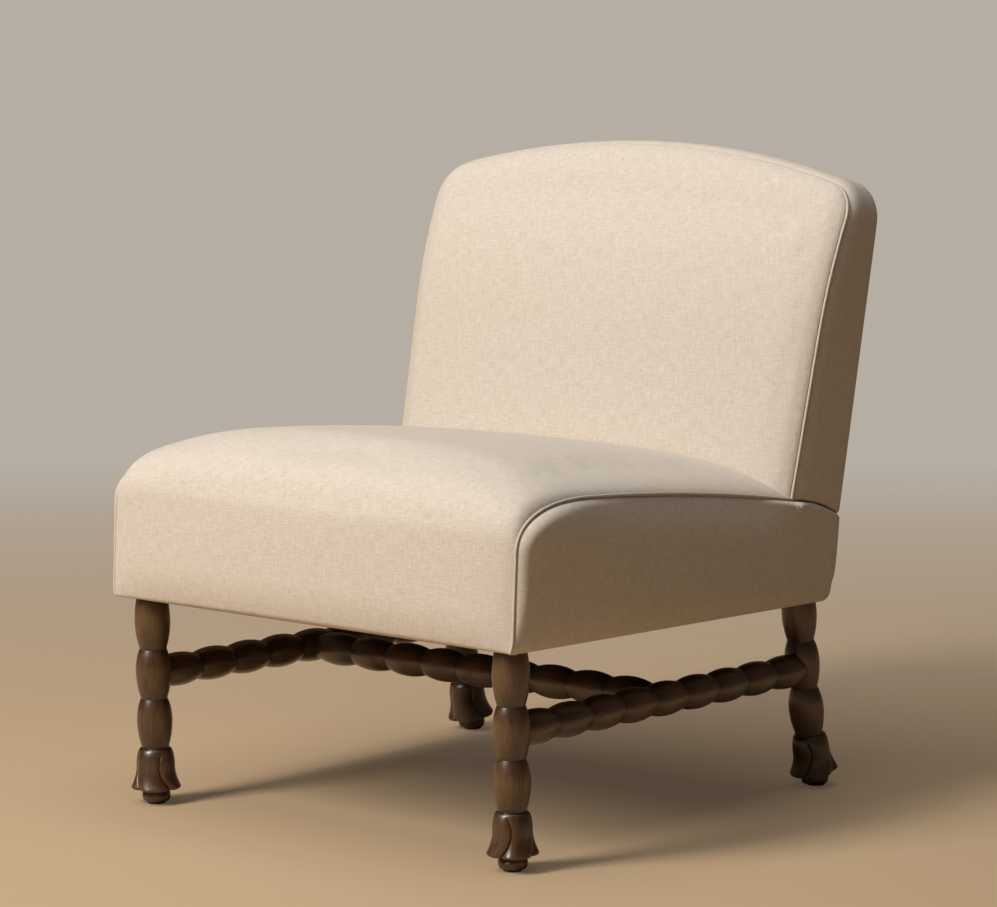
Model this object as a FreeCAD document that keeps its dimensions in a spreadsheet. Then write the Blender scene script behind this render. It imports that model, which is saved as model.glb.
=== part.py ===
"""Armless accent chair: bobbin-turned base, dowelled seat and back frame, sprung and padded upholstery.

Millimetres, +Z up, the chair faces -Y and the origin is on the floor under the middle of the whole chair.
The seat is built in a seat frame (its underside falls a little to the rear) and the back in a back frame
(its rear face leans), and both frames are placed in the chair.
"""
import FreeCAD, Part
import math
import os
import Sketcher

Vector = FreeCAD.Vector
Placement = FreeCAD.Placement
Rotation = FreeCAD.Rotation
X_AXIS = Vector(1, 0, 0)
Z_AXIS = Vector(0, 0, 1)
SIDES = (("left", -1), ("right", 1))

DIMENSIONS = {
    # Seat, measured on its side seams
    "seat_width": 636,
    "seat_depth": 622,
    "seat_underside": 259,
    "seat_pitch": 1.62,
    "seat_rise_front": 170.4,
    "seat_rise_rear": 133.4,
    "seat_top_arch": 6,
    "seat_crown": 48,
    "roll_start": 114,
    "roll_depth": 119,
    "front_lean": 2.8,
    "front_bulge": 8,
    "side_bulge": 9,
    "side_draw": 36,
    "rear_corner_radius": 20,
    "rear_seam_height": 107,
    "rear_seam_bow": 6,
    # Back, measured along its rear face; its shoulders stand out past the seat seams by the overhang
    "back_rake": 9.3,
    "back_height": 556,
    "back_overhang": 11,
    "back_flare": 11,
    "shoulder_height": 465,
    "crest_radius": 1180,
    "crest_corner": 47,
    "back_thickness": 104,
    "back_thickness_mid": 92,
    "back_low_height": 124,
    "back_mid_height": 323,
    "back_roll_radius": 660,
    "back_crown": 14,
    # Upholstery layers and clearances
    "cover_thickness": 2,
    "pad_thickness": 7,
    "welt_width": 5,
    "soft_clearance": 0.3,
    "fit_clearance": 0.2,
    "deck_gap": 1,
    "dust_cloth_thickness": 0.8,
    "deck_cloth_thickness": 2,
    # Seat and back frame
    "rail_thickness": 22,
    "rail_height": 78,
    "corner_post": 45,
    "back_post_width": 42,
    "back_post_thickness": 40,
    "frame_inset": 11,
    "crest_rail_height": 70,
    "back_rail_height": 60,
    "back_rail_start": 112,
    "dowel_diameter": 10,
    "dowel_length": 44,
    "dowel_spacing": 38,
    # Springs and webbing
    "spring_wire": 3.6,
    "spring_width": 48,
    "spring_clip_height": 8,
    "spring_clip_depth": 14,
    "spring_clip_width": 16,
    "webbing_width": 50,
    "webbing_thickness": 2,
    "webbing_overlap": 28,
    # Turned base
    "leg_inset_side_front": 33,
    "leg_inset_side_rear": 36,
    "leg_inset_front": 39,
    "leg_inset_rear": 18,
    "bead_diameter": 44,
    "neck_diameter": 33,
    "leg_head_diameter": 37,
    "leg_head_length": 66,
    "bead_pitch": 62,
    "bead_widest": 35,
    "neck_overlap": 2,
    "neck_step": 0.6,
    "rear_tilt_top": 5.5,
    "rear_tilt_step": 2.6,
    "stretcher_bead_diameter": 42,
    "stretcher_neck_diameter": 32,
    "stretcher_height_front": 163,
    "stretcher_height_rear": 153.5,
    "tenon_diameter": 16,
    "tenon_length": 20,
    # Tulip foot, measured up from the floor
    "foot_height": 70,
    "petal_diameter": 60,
    "petal_tip_height": 21,
    "petal_lip": 3,
    "bell_diameter": 45,
    "bell_height": 50,
    "bell_flare_radius": 60,
    "bell_shoulder_radius": 15,
    "pad_diameter": 35,
    "pad_neck_diameter": 30,
    "pad_height": 10,
    "pad_radius": 12,
    "pad_contact_diameter": 24,
    # Hardware
    "glide_diameter": 22,
    "glide_thickness": 3,
    "glide_nail_diameter": 2.6,
    "glide_nail_length": 14,
    "bolt_diameter": 8,
    "bolt_in_leg": 45,
    "bolt_in_frame": 40,
    "insert_diameter": 12,
    "insert_length": 25,
}
STRETCHER_BEADS = 9
LEG_BEADS = 2
SPRING_COUNT = 5
SPRING_RUNS = 16
WEBBING_COUNT = 4

# Fullness of a crown across its width: 1 at the middle, 0 at the edge
CROWN_POWER = 3
CROWN_ROOT = 0.6
CROWN_STATIONS = (0.35, 0.6, 0.78, 0.9, 0.97, 1)

# The front roll is a superellipse: its power, its stations along the depth, and the crown's share at its foot
ROLL_POWER = 2.4
ROLL_STATIONS = (0, 0.06, 0.29, 0.58, 1)
ROLL_LIFT = 0.35

# A side panel's stations: share of its bulge, and share of its draw at the seams
SIDE_STATIONS = ((0, 0), (0.55, 1 / 3), (1, 1))

# Reach of trimming boxes, spare length of a form that is trimmed later, and the least bow of a bowed edge
FAR = 1500
SPARE = 20
FLATTEST = 0.5

doc = FreeCAD.newDocument("bobbin_chair")
sheet = doc.addObject("Spreadsheet::Sheet", "dims")
for row, (alias, value) in enumerate(DIMENSIONS.items(), start=1):
    sheet.set(f"A{row}", str(value))
    sheet.setAlias(f"A{row}", alias)
doc.recompute()


class Sizes:
    """The sheet's numbers by alias, for the places worked out in this file."""

    def __getattr__(self, alias):
        return float(sheet.get(alias))


size = Sizes()
pieces = []


def derive(alias, value):
    """Keep a worked-out size in the sheet, so that features can be bound to it."""
    row = len(DIMENSIONS) + 1 + derive.count
    derive.count += 1
    sheet.set(f"A{row}", f"{value:.6f}")
    sheet.setAlias(f"A{row}", alias)
    doc.recompute()


derive.count = 0
derive("back_width", size.seat_width + 2 * size.back_overhang)


def number(expression):
    """The value of an expression on the sheet."""
    return float(sheet.evalExpression(str(expression)))


# Frames of the seat and the back
seat_half = size.seat_width / 2
pitch_angle = math.radians(size.seat_pitch)
rake_angle = math.radians(size.back_rake)
rear_reach = math.cos(pitch_angle) * size.seat_depth + math.sin(rake_angle) * size.back_height
seat_front = size.front_bulge - (size.front_bulge + rear_reach) / 2
seat_frame = Placement(Vector(0, seat_front, size.seat_underside), Rotation(X_AXIS, -size.seat_pitch))
back_foot = seat_frame.multVec(Vector(0, size.seat_depth, 0))
back_frame = Placement(back_foot, Rotation(X_AXIS, -size.back_rake))
deck_height = size.rail_height + size.spring_clip_height
frame_face = seat_half - size.cover_thickness - size.pad_thickness
frame_front = size.cover_thickness + size.pad_thickness


def seat_to_chair(y, z, x=0):
    return seat_frame.multVec(Vector(x, y, z))


def back_to_seat(y, z):
    """A point of the back frame's middle plane, in the seat frame."""
    point = seat_frame.inverse().multVec(back_frame.multVec(Vector(0, y, z)))
    return point.y, point.z


# Building blocks
def block(name, frame, low, extent):
    """A box from its low corner, its three sizes bound to the sheet."""
    box = doc.addObject("Part::Box", name)
    for side, expression in zip(("Length", "Width", "Height"), extent):
        box.setExpression(side, str(expression))
    box.Placement = frame.multiply(Placement(Vector(*[number(v) for v in low]), Rotation()))
    return box


def rod(name, start, direction, diameter, length):
    """A round bar from start along direction, its diameter and length bound to the sheet."""
    bar = doc.addObject("Part::Cylinder", name)
    bar.setExpression("Radius", f"({diameter}) / 2")
    bar.setExpression("Height", str(length))
    bar.Placement = Placement(start, Rotation(Z_AXIS, direction))
    return bar


def cut(name, base, tools):
    result = doc.addObject("Part::Cut", name)
    result.Base = base
    result.Tool = tools[0] if len(tools) == 1 else fuse(f"{name}_tools", tools)
    return result


def fuse(name, members):
    result = doc.addObject("Part::MultiFuse", name)
    result.Shapes = members
    return result


def common(name, base, tool):
    result = doc.addObject("Part::Common", name)
    result.Base = base
    result.Tool = tool
    return result


def formed(name, shape, frame=None):
    """A lofted or trimmed soft form whose shape is worked out here."""
    feature = doc.addObject("Part::Feature", name)
    feature.Shape = shape
    if frame:
        feature.Placement = frame
    return feature


def keep(label, piece, solids=1):
    """Name a finished piece: the label is its node and its file, which holds this many solids."""
    piece.Label = label
    pieces.append((piece, solids))


def keep_group(label, members):
    """Name a set of like pieces, separate solids that share one node."""
    compound = doc.addObject("Part::Compound", f"{label}_group")
    compound.Links = members
    keep(label, compound, len(members))


# Sketches whose corners and radii are bound to the sheet
def arc_middle(start, end, radius, turn):
    """Middle of the shorter arc from start to end, bulging right of travel (turn 1) or left (-1)."""
    chord = end - start
    half = chord.Length / 2
    sagitta = radius - math.sqrt(radius * radius - half * half)
    right = Vector(chord.y, -chord.x, 0) / chord.Length
    return (start + end) / 2 + right * sagitta * turn


def outline_sketch(body, name, role, corners, offset=None):
    """A closed outline on one of the body's own planes.

    A corner is (x, y) for a straight run to the next corner, or (x, y, radius, turn) for an arc to it.
    """
    sketch = body.newObject("Sketcher::SketchObject", name)
    plane = next(f for f in body.Origin.OriginFeatures if getattr(f, "Role", "") == role)
    sketch.AttachmentSupport = (plane, [""])
    sketch.MapMode = "FlatFace"
    if offset:
        sketch.AttachmentOffset = offset
    points = [Vector(number(c[0]), number(c[1]), 0) for c in corners]
    ends = []
    for i, corner in enumerate(corners):
        start, end = points[i], points[(i + 1) % len(points)]
        if len(corner) == 2:
            sketch.addGeometry(Part.LineSegment(start, end), False)
        else:
            middle = arc_middle(start, end, number(corner[2]), corner[3])
            ends_in_turn = (start, middle, end) if corner[3] > 0 else (end, middle, start)
            sketch.addGeometry(Part.Arc(*ends_in_turn), False)
        drawn = sketch.Geometry[i]
        forward = (drawn.StartPoint - start).Length < (drawn.EndPoint - start).Length
        ends.append((1, 2) if forward else (2, 1))
    for i, corner in enumerate(corners):
        last = i - 1 if i else len(corners) - 1
        sketch.addConstraint(Sketcher.Constraint("Coincident", last, ends[last][1], i, ends[i][0]))
        for axis, expression in zip(("DistanceX", "DistanceY"), corner[:2]):
            value = number(expression)
            index = sketch.addConstraint(Sketcher.Constraint(axis, -1, 1, i, ends[i][0], value))
            sketch.renameConstraint(index, f"{axis}{i}")
            sketch.setExpression(f"Constraints.{axis}{i}", str(expression))
        if len(corner) > 2:
            index = sketch.addConstraint(Sketcher.Constraint("Radius", i, number(corner[2])))
            sketch.renameConstraint(index, f"Radius{i}")
            sketch.setExpression(f"Constraints.Radius{i}", str(corner[2]))
    return sketch


def turning(body, name, role, corners, offset=None):
    """A turned length: an outline beside the sketch's upright axis, spun round it."""
    feature = body.newObject("PartDesign::Revolution", name)
    feature.Profile = outline_sketch(body, f"{name}_profile", role, corners, offset)
    feature.ReferenceAxis = (feature.Profile[0], ["V_Axis"])
    feature.Angle = 360
    return feature


def arc_radius(drop, run):
    """Expression for the radius of an arc that starts upright and falls in by drop over run."""
    return f"(({drop}) ^ 2 + ({run}) ^ 2) / (2 * ({drop}))"


def bead_corners(length, widest, bead, neck, end):
    """Half profile of one bobbin bead, from its lower neck up to its upper end."""
    top = f"({length})"
    collar = f"dims.{end} / 2 - dims.neck_step"
    lower_arc = arc_radius(f"(dims.{bead} - dims.{neck}) / 2", widest)
    upper_arc = arc_radius(f"(dims.{bead} - dims.{end}) / 2", f"{top} - {widest}")
    return [
        (0, 0),
        (f"dims.{neck} / 2", 0, lower_arc, 1),
        (f"dims.{bead} / 2", widest, upper_arc, 1),
        (f"dims.{end} / 2", top),
        (collar, top),
        (collar, f"{top} + dims.neck_overlap"),
        (0, f"{top} + dims.neck_overlap"),
    ]


# Turned legs
FOOT_CORNERS = [
    (0, 0),
    ("dims.pad_contact_diameter / 2", 0, "dims.pad_radius", 1),
    ("dims.pad_diameter / 2", "dims.pad_height", "dims.pad_radius", 1),
    ("dims.pad_neck_diameter / 2", "dims.petal_tip_height - dims.petal_lip"),
    ("dims.petal_diameter / 2 - dims.petal_lip", "dims.petal_tip_height - dims.petal_lip"),
    ("dims.petal_diameter / 2", "dims.petal_tip_height", "dims.bell_flare_radius", -1),
    ("dims.bell_diameter / 2", "dims.bell_height", "dims.bell_shoulder_radius", 1),
    ("dims.neck_diameter / 2", "dims.foot_height"),
    ("dims.neck_diameter / 2 - dims.neck_step", "dims.foot_height"),
    ("dims.neck_diameter / 2 - dims.neck_step", "dims.foot_height + dims.neck_overlap"),
    (0, "dims.foot_height + dims.neck_overlap"),
]


class LegLine:
    """The leg's bent centre line in the YZ plane: foot, beads and head, each straight with its own lean."""

    def __init__(self, side_inset, top_y, tilt_top, tilt_step):
        self.x = seat_half - side_inset
        lengths = [size.foot_height] + [size.bead_pitch] * LEG_BEADS + [size.leg_head_length]
        tilts = [tilt_top + tilt_step * n for n in range(LEG_BEADS + 1, -1, -1)]
        y, z = 0.0, 0.0
        starts = []
        for length, tilt in zip(lengths, tilts):
            starts.append((y, z))
            y -= length * math.sin(math.radians(tilt))
            z += length * math.cos(math.radians(tilt))
        underside = size.seat_underside - (top_y - seat_front) * math.tan(pitch_angle)
        head_y, head_z = starts[-1]
        shift = top_y - head_y + (underside - head_z) * math.tan(math.radians(tilts[-1]))
        self.spans = [(a + shift, b, tilt) for (a, b), tilt in zip(starts, tilts)]
        self.top = Vector(0, top_y, underside)
        self.foot_y = self.spans[0][0]

    def at_height(self, z):
        """Centre of the leg at a height, and its lean there."""
        y0, z0, tilt = [span for span in self.spans if span[1] <= z][-1]
        return y0 - (z - z0) * math.tan(math.radians(tilt)), tilt


front_line = LegLine(size.leg_inset_side_front, seat_front + size.leg_inset_front, 0, 0)
rear_line = LegLine(
    size.leg_inset_side_rear,
    back_foot.y - size.leg_inset_rear,
    size.rear_tilt_top,
    size.rear_tilt_step,
)


def leg_blank(name, line):
    """Foot, beads and head turned about the leg's centre line."""
    body = doc.addObject("PartDesign::Body", name)
    lengths = ["dims.foot_height"] + ["dims.bead_pitch"] * LEG_BEADS + ["dims.leg_head_length"]
    for n, (y, z, tilt) in enumerate(line.spans):
        offset = Placement(Vector(y, z, 0), Rotation(Z_AXIS, tilt))
        corners = FOOT_CORNERS
        if n > 0:
            end = "neck_diameter" if n <= LEG_BEADS else "leg_head_diameter"
            corners = bead_corners(lengths[n], "dims.bead_widest", "bead_diameter", "neck_diameter", end)
        turning(body, f"{name}_turning_{n}", "YZ_Plane", corners, offset)
    return body


def stretcher_ends(sign):
    """Where a side stretcher's centre line meets the front leg and the rear leg."""
    heights = ((front_line, size.stretcher_height_front), (rear_line, size.stretcher_height_rear))
    return [Vector(sign * line.x, line.at_height(z)[0], z) for line, z in heights]


right_ends = stretcher_ends(1)
derive("side_axis_length", (right_ends[1] - right_ends[0]).Length)
derive("cross_axis_length", front_line.x + rear_line.x)
derive("socket_diameter", size.tenon_diameter + 2 * size.fit_clearance)
derive("frame_face", frame_face)
derive("frame_front", frame_front)
derive("deck_height", deck_height)


def unit(direction):
    return direction / direction.Length


def lean_direction(tilt):
    return Vector(0, -math.sin(math.radians(tilt)), math.cos(math.radians(tilt)))


def stretcher(label, start, direction, axis_length, host_bead, hosts):
    """A row of beads between two round hosts: coped ends, and a tenon into each host."""
    bead = f"(dims.{axis_length} - dims.{host_bead}) / {STRETCHER_BEADS}"
    neck = "stretcher_neck_diameter"
    profile = bead_corners(bead, f"{bead} / 2", "stretcher_bead_diameter", neck, neck)
    beads = doc.addObject("PartDesign::Body", f"{label}_beads")
    first = turning(beads, f"{label}_bead", "XZ_Plane", profile)
    row = beads.newObject("PartDesign::LinearPattern", f"{label}_row")
    row.Originals = [first]
    axis = next(f for f in beads.Origin.OriginFeatures if getattr(f, "Role", "") == "Z_Axis")
    row.Direction = (axis, [""])
    row.Occurrences = STRETCHER_BEADS
    row.setExpression("Length", f"{bead} * {STRETCHER_BEADS - 1}")
    beads.Tip = row
    way = unit(direction)
    host_radius = number(f"dims.{host_bead}") / 2
    beads.Placement = Placement(start + way * host_radius, Rotation(Z_AXIS, way))
    core = rod(f"{label}_core", start, way, f"dims.{neck}", f"dims.{axis_length}")
    coped = cut(f"{label}_coped", fuse(f"{label}_blank", [beads, core]), hosts)
    tenon_start = start + way * (host_radius - size.tenon_length)
    tenon_run = f"dims.{axis_length} - dims.{host_bead} + 2 * dims.tenon_length"
    tenon = rod(f"{label}_tenon", tenon_start, way, "dims.tenon_diameter", tenon_run)
    return fuse(f"{label}_turned", [coped, tenon])


def host(name, centre, direction, bead):
    """The round envelope of a bead that a stretcher's end is coped to."""
    start = centre - unit(direction) * (size.bead_pitch / 2)
    return rod(name, start, direction, f"dims.{bead} + 2 * dims.fit_clearance", "dims.bead_pitch")


def socket(name, centre, direction, bead):
    """Round mortise from a bead's centre line outwards, deep enough for a tenon with clearance."""
    floor = number(f"dims.{bead}") / 2 - size.tenon_length - size.fit_clearance
    return rod(name, centre + unit(direction) * floor, direction, "dims.socket_diameter", f"dims.{bead}")


def make_leg(name, line, sign, meet, way):
    """One leg, with its stretcher mortise at meet; returns its glide, its hanger bolt and its insert."""
    shift = Vector(sign * line.x, 0, 0)
    blank = leg_blank(f"{name}_blank", line)
    blank.Placement = Placement(shift, Rotation())
    above = block(f"{name}_above", seat_frame, (-FAR, -FAR, 0), (2 * FAR, 2 * FAR, FAR))
    floor_extent = (2 * FAR, 2 * FAR, f"{FAR} + dims.glide_thickness")
    below = block(f"{name}_below", Placement(), (-FAR, -FAR, -FAR), floor_extent)
    mortise = socket(f"{name}_socket", meet, way, "bead_diameter")

    up = lean_direction(line.spans[-1][2])
    bolt_start = line.top + shift - up * size.bolt_in_leg
    bolt_length = "dims.bolt_in_leg + dims.bolt_in_frame"
    bolt = rod(f"{name}_bolt", bolt_start, up, "dims.bolt_diameter", bolt_length)
    hole_start = bolt_start - up * size.fit_clearance
    hole_size = "dims.bolt_diameter + 2 * dims.fit_clearance"
    hole = rod(f"{name}_bolt_hole", hole_start, up, hole_size, bolt_length)

    foot = Vector(sign * line.x, line.foot_y, 0)
    nail_size = "dims.glide_nail_diameter"
    nail_hole_size = f"{nail_size} + 2 * dims.fit_clearance"
    nail_hole_length = "dims.glide_nail_length + dims.fit_clearance"
    nail_hole = rod(f"{name}_nail_hole", foot, Z_AXIS, nail_hole_size, nail_hole_length)
    keep(name, cut(f"{name}_cut", blank, [above, below, mortise, hole, nail_hole]))

    disc = rod(f"{name}_glide_disc", foot, Z_AXIS, "dims.glide_diameter", "dims.glide_thickness")
    nail = rod(f"{name}_glide_nail", foot, Z_AXIS, nail_size, "dims.glide_nail_length")
    glide = fuse(f"{name}_glide", [disc, nail])
    sleeve_start = line.top + shift + up * insert_start(line)
    sleeve = rod(f"{name}_sleeve", sleeve_start, up, "dims.insert_diameter", "dims.insert_length")
    bore = rod(f"{name}_sleeve_bore", hole_start, up, hole_size, f"{bolt_length} + dims.insert_length")
    return glide, bolt, cut(f"{name}_insert", sleeve, [bore])


def make_base():
    """Four legs with their fittings, two side stretchers and the cross stretcher."""
    fittings = []
    cross_hosts = []
    rear_up = lean_direction(rear_line.at_height(size.stretcher_height_rear)[1])
    for side, sign in SIDES:
        start, end = stretcher_ends(sign)
        run = end - start
        middle = (start + end) / 2
        fittings.append(make_leg(f"front_{side}_leg", front_line, sign, start, run))
        fittings.append(make_leg(f"rear_{side}_leg", rear_line, sign, end, run * -1))
        label = f"{side}_side_stretcher"
        hosts = [
            host(f"{side}_front_host", start, Z_AXIS, "bead_diameter"),
            host(f"{side}_rear_host", end, rear_up, "bead_diameter"),
        ]
        turned = stretcher(label, start, run, "side_axis_length", "bead_diameter", hosts)
        inwards = X_AXIS * -sign
        mortise = socket(f"{side}_cross_socket", middle, inwards, "stretcher_bead_diameter")
        keep(label, cut(f"{label}_cut", turned, [mortise]))
        cross_hosts.append(host(f"cross_{side}_host", middle, run, "stretcher_bead_diameter"))
        if sign < 0:
            cross_start = middle
    label = "cross_stretcher"
    host_bead = "stretcher_bead_diameter"
    keep(label, stretcher(label, cross_start, X_AXIS, "cross_axis_length", host_bead, cross_hosts))
    glides, bolts, inserts = zip(*fittings)
    keep_group("foot_glides", list(glides))
    keep_group("leg_bolts", list(bolts))
    keep_group("leg_inserts", list(inserts))


def insert_start(line):
    """How far above the underside an insert sits, so that its lower rim stays inside the timber."""
    return size.insert_diameter / 2 * math.tan(math.radians(line.spans[-1][2])) + size.fit_clearance * 2


# Seat and back frame
def back_outline(inset, bottom):
    """Front view of the back as a wire in its frame: flared sides, round shoulders and an arched crest."""
    half = size.back_width / 2
    slope = size.back_flare / (size.shoulder_height - size.back_low_height)
    length = math.sqrt(1 + slope * slope)
    arch = size.crest_radius
    corner = size.crest_corner
    arch_z = size.back_height - arch
    # Centre of the shoulder arc, which touches the side line and the crest arc
    a = half + slope * (arch_z - size.shoulder_height) - corner * length
    reach = arch - corner
    root = math.sqrt((a * slope) ** 2 - length * length * (a * a - reach * reach))
    rise = (root - a * slope) / (length * length)
    centre_x, centre_z = a + slope * rise, arch_z + rise
    r = corner - inset
    side_x, side_z = centre_x + r / length, centre_z - r * slope / length
    scale = (arch - inset) / reach
    crest_x, crest_z = centre_x * scale, arch_z + rise * scale
    turn = (math.atan2(-slope, 1) + math.atan2(rise, centre_x)) / 2
    mid_x, mid_z = centre_x + r * math.cos(turn), centre_z + r * math.sin(turn)
    low_x = side_x - slope * (side_z - bottom)
    points = [(low_x, bottom), (side_x, side_z), (mid_x, mid_z), (crest_x, crest_z)]
    right = [Vector(x, 0, z) for x, z in points]
    left = [Vector(-x, 0, z) for x, z in points]
    top = Vector(0, 0, size.back_height - inset)
    return Part.Wire([
        Part.LineSegment(left[0], right[0]).toShape(),
        Part.LineSegment(right[0], right[1]).toShape(),
        Part.Arc(right[1], right[2], right[3]).toShape(),
        Part.Arc(right[3], top, left[3]).toShape(),
        Part.Arc(left[3], left[2], left[1]).toShape(),
        Part.LineSegment(left[1], left[0]).toShape(),
    ])


def back_prism(inset, near, far):
    """The back's outline carried from depth near to depth far behind the front, in the back frame."""
    face = Part.Face(back_outline(inset, -size.back_thickness))
    face.translate(Vector(0, -far, 0))
    return face.extrude(Vector(0, far - near, 0))


def placed(shape, frame):
    shape.Placement = frame
    return shape


def slab(frame, low, high):
    """A plain box used to trim a form, between two corners of a frame."""
    box = Part.makeBox(high[0] - low[0], high[1] - low[1], high[2] - low[2], Vector(*low))
    return placed(box, frame)


def back_timber_form():
    """The back's outline, set in from its edges, over the thickness of its timber."""
    return back_prism(size.frame_inset, size.cover_thickness, post_front)


def below_seat():
    return slab(seat_frame, (-FAR, -FAR, -FAR), (FAR, FAR, 0))


def post_zone():
    """Everything behind the front face of the back posts."""
    return slab(back_frame, (-FAR, -post_front, -FAR), (FAR, FAR, FAR))


post_front = size.cover_thickness + size.back_post_thickness
derive("post_front", post_front)


class DowelSet:
    """Dowels for the frame's joints, and the holes that they need in each rail and post."""

    def __init__(self):
        self.pins = []
        self.holes = {}

    def joint(self, name, frame, point, direction, hosts):
        """One dowel centred on a joint face, drilled into both hosts."""
        way = frame.Rotation.multVec(direction)
        centre = frame.multVec(point)
        pin_start = centre - way * (size.dowel_length / 2)
        self.pins.append(rod(name, pin_start, way, "dims.dowel_diameter", "dims.dowel_length"))
        hole_start = pin_start - way * size.fit_clearance
        hole = rod(
            f"{name}_hole",
            hole_start,
            way,
            "dims.dowel_diameter + 2 * dims.fit_clearance",
            "dims.dowel_length + 2 * dims.fit_clearance",
        )
        for label in hosts:
            self.holes.setdefault(label, []).append(hole)


dowels = DowelSet()


def drilled(label, timber, extra=()):
    """Finish a frame member: drill its dowel holes and any others."""
    keep(label, cut(f"{label}_drilled", timber, dowels.holes.get(label, []) + list(extra)))


def frame_joints():
    """Two dowels at every joint of the seat frame, and two at each end of the back's rails."""
    y_mid = frame_front + size.rail_thickness / 2
    post_inner = frame_face - size.corner_post
    z_low = (size.rail_height - size.dowel_spacing) / 2
    rear_heights = (size.bolt_in_frame + size.dowel_diameter, size.rail_height - size.dowel_diameter)
    side_mid = frame_face - size.rail_thickness / 2
    for side, sign in SIDES:
        for n in range(2):
            z = z_low + n * size.dowel_spacing
            post, back_post = f"front_{side}_corner_post", f"{side}_back_post"
            spot = Vector(sign * post_inner, y_mid, z)
            dowels.joint(f"front_{side}_dowel_{n}", seat_frame, spot, X_AXIS, ["front_rail", post])
            spot = Vector(sign * side_mid, frame_front + size.corner_post, z)
            rail = f"{side}_side_rail"
            dowels.joint(f"{side}_fore_dowel_{n}", seat_frame, spot, Vector(0, 1, 0), [rail, post])
            y = back_to_seat(-post_front, z)[0]
            spot = Vector(sign * side_mid, y, z)
            dowels.joint(f"{side}_aft_dowel_{n}", seat_frame, spot, Vector(0, 1, 0), [rail, back_post])
            spot = Vector(sign * post_inner_rear, rear_rail_y + size.rail_thickness / 2, rear_heights[n])
            dowels.joint(f"rear_{side}_dowel_{n}", seat_frame, spot, X_AXIS, ["rear_rail", back_post])
            depth = -size.cover_thickness - size.back_post_thickness / 2
            z_back = size.back_rail_start + (size.back_rail_height - size.dowel_spacing) / 2
            spot = Vector(sign * post_inner_rear, depth, z_back + n * size.dowel_spacing)
            dowels.joint(f"{side}_back_rail_dowel_{n}", back_frame, spot, X_AXIS, ["back_rail", back_post])
            across = post_inner_rear + size.back_post_width * (n + 1) / 3
            spot = Vector(sign * across, depth, crest_joint)
            dowels.joint(f"{side}_crest_dowel_{n}", back_frame, spot, Z_AXIS, ["crest_rail", back_post])


rear_rail_y = size.seat_depth - size.cover_thickness - size.soft_clearance - size.rail_thickness
post_inner_rear = frame_face - size.back_post_width
crest_joint = size.back_height - size.crest_radius
crest_joint += math.sqrt((size.crest_radius - size.frame_inset) ** 2 - post_inner_rear ** 2)
crest_joint -= size.crest_rail_height
derive("post_inner_rear", post_inner_rear)
derive("crest_joint", crest_joint)


def make_frame():
    """Seat rails, corner posts, back posts, crest rail and lower back rail, joined with dowels."""
    frame_joints()
    for side, sign in SIDES:
        label = f"front_{side}_corner_post"
        low_x = frame_face - size.corner_post if sign > 0 else -frame_face
        extent = ("dims.corner_post", "dims.corner_post", "dims.deck_height")
        timber = block(f"{label}_timber", seat_frame, (low_x, frame_front, 0), extent)
        drilled(label, timber, [insert_hole(label, front_line, sign)])

        label = f"{side}_side_rail"
        low_x = frame_face - size.rail_thickness if sign > 0 else -frame_face
        low = (low_x, frame_front + size.corner_post, 0)
        extent = ("dims.rail_thickness", "dims.seat_depth", "dims.deck_height")
        timber = block(f"{label}_timber", seat_frame, low, extent)
        behind = formed(f"{label}_behind", post_zone())
        drilled(label, timber, [behind])

        label = f"{side}_back_post"
        profile = formed(f"{label}_profile", back_timber_form(), back_frame)
        low_x = post_inner_rear if sign > 0 else -FAR
        extent = (f"{FAR} - dims.post_inner_rear", 2 * FAR, f"{FAR} + dims.crest_joint")
        zone = block(f"{label}_zone", back_frame, (low_x, -FAR, -FAR), extent)
        timber = common(f"{label}_timber", profile, zone)
        foot = formed(f"{label}_foot_trim", below_seat())
        drilled(label, timber, [foot, insert_hole(label, rear_line, sign)])

    width = "2 * (dims.frame_face - dims.corner_post)"
    low = (size.corner_post - frame_face, frame_front, 0)
    rail = ("dims.rail_thickness", "dims.rail_height")
    drilled("front_rail", block("front_rail_timber", seat_frame, low, (width, *rail)))
    low = (-post_inner_rear, rear_rail_y, 0)
    drilled("rear_rail", block("rear_rail_timber", seat_frame, low, ("2 * dims.post_inner_rear", *rail)))
    low_y = -size.cover_thickness - (size.back_post_thickness + size.rail_thickness) / 2
    low = (-post_inner_rear, low_y, size.back_rail_start)
    extent = ("2 * dims.post_inner_rear", "dims.rail_thickness", "dims.back_rail_height")
    drilled("back_rail", block("back_rail_timber", back_frame, low, extent))

    profile = formed("crest_profile", back_timber_form(), back_frame)
    zone = block("crest_zone", back_frame, (-FAR, -FAR, crest_joint), (2 * FAR, 2 * FAR, FAR))
    arch_centre = back_frame.multVec(Vector(0, -FAR, size.back_height - size.crest_radius))
    under = rod(
        "crest_underside",
        arch_centre,
        back_frame.Rotation.multVec(Vector(0, 1, 0)),
        "2 * (dims.crest_radius - dims.frame_inset - dims.crest_rail_height)",
        2 * FAR,
    )
    drilled("crest_rail", common("crest_timber", profile, zone), [under])
    keep_group("frame_dowels", dowels.pins)


def insert_hole(label, line, sign):
    """Blind hole in a post's lower end for the threaded insert and the bolt's tip."""
    up = lean_direction(line.spans[-1][2])
    start = line.top + Vector(sign * line.x, 0, 0)
    wide = rod(
        f"{label}_insert_hole",
        start - up * size.insert_diameter,
        up,
        "dims.insert_diameter + 2 * dims.fit_clearance",
        f"dims.insert_diameter + dims.insert_length + {insert_start(line) + size.fit_clearance}",
    )
    narrow = rod(
        f"{label}_bolt_hole",
        start,
        up,
        "dims.bolt_diameter + 2 * dims.fit_clearance",
        "dims.bolt_in_frame + dims.fit_clearance",
    )
    return fuse(f"{label}_foot_hole", [wide, narrow])


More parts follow.
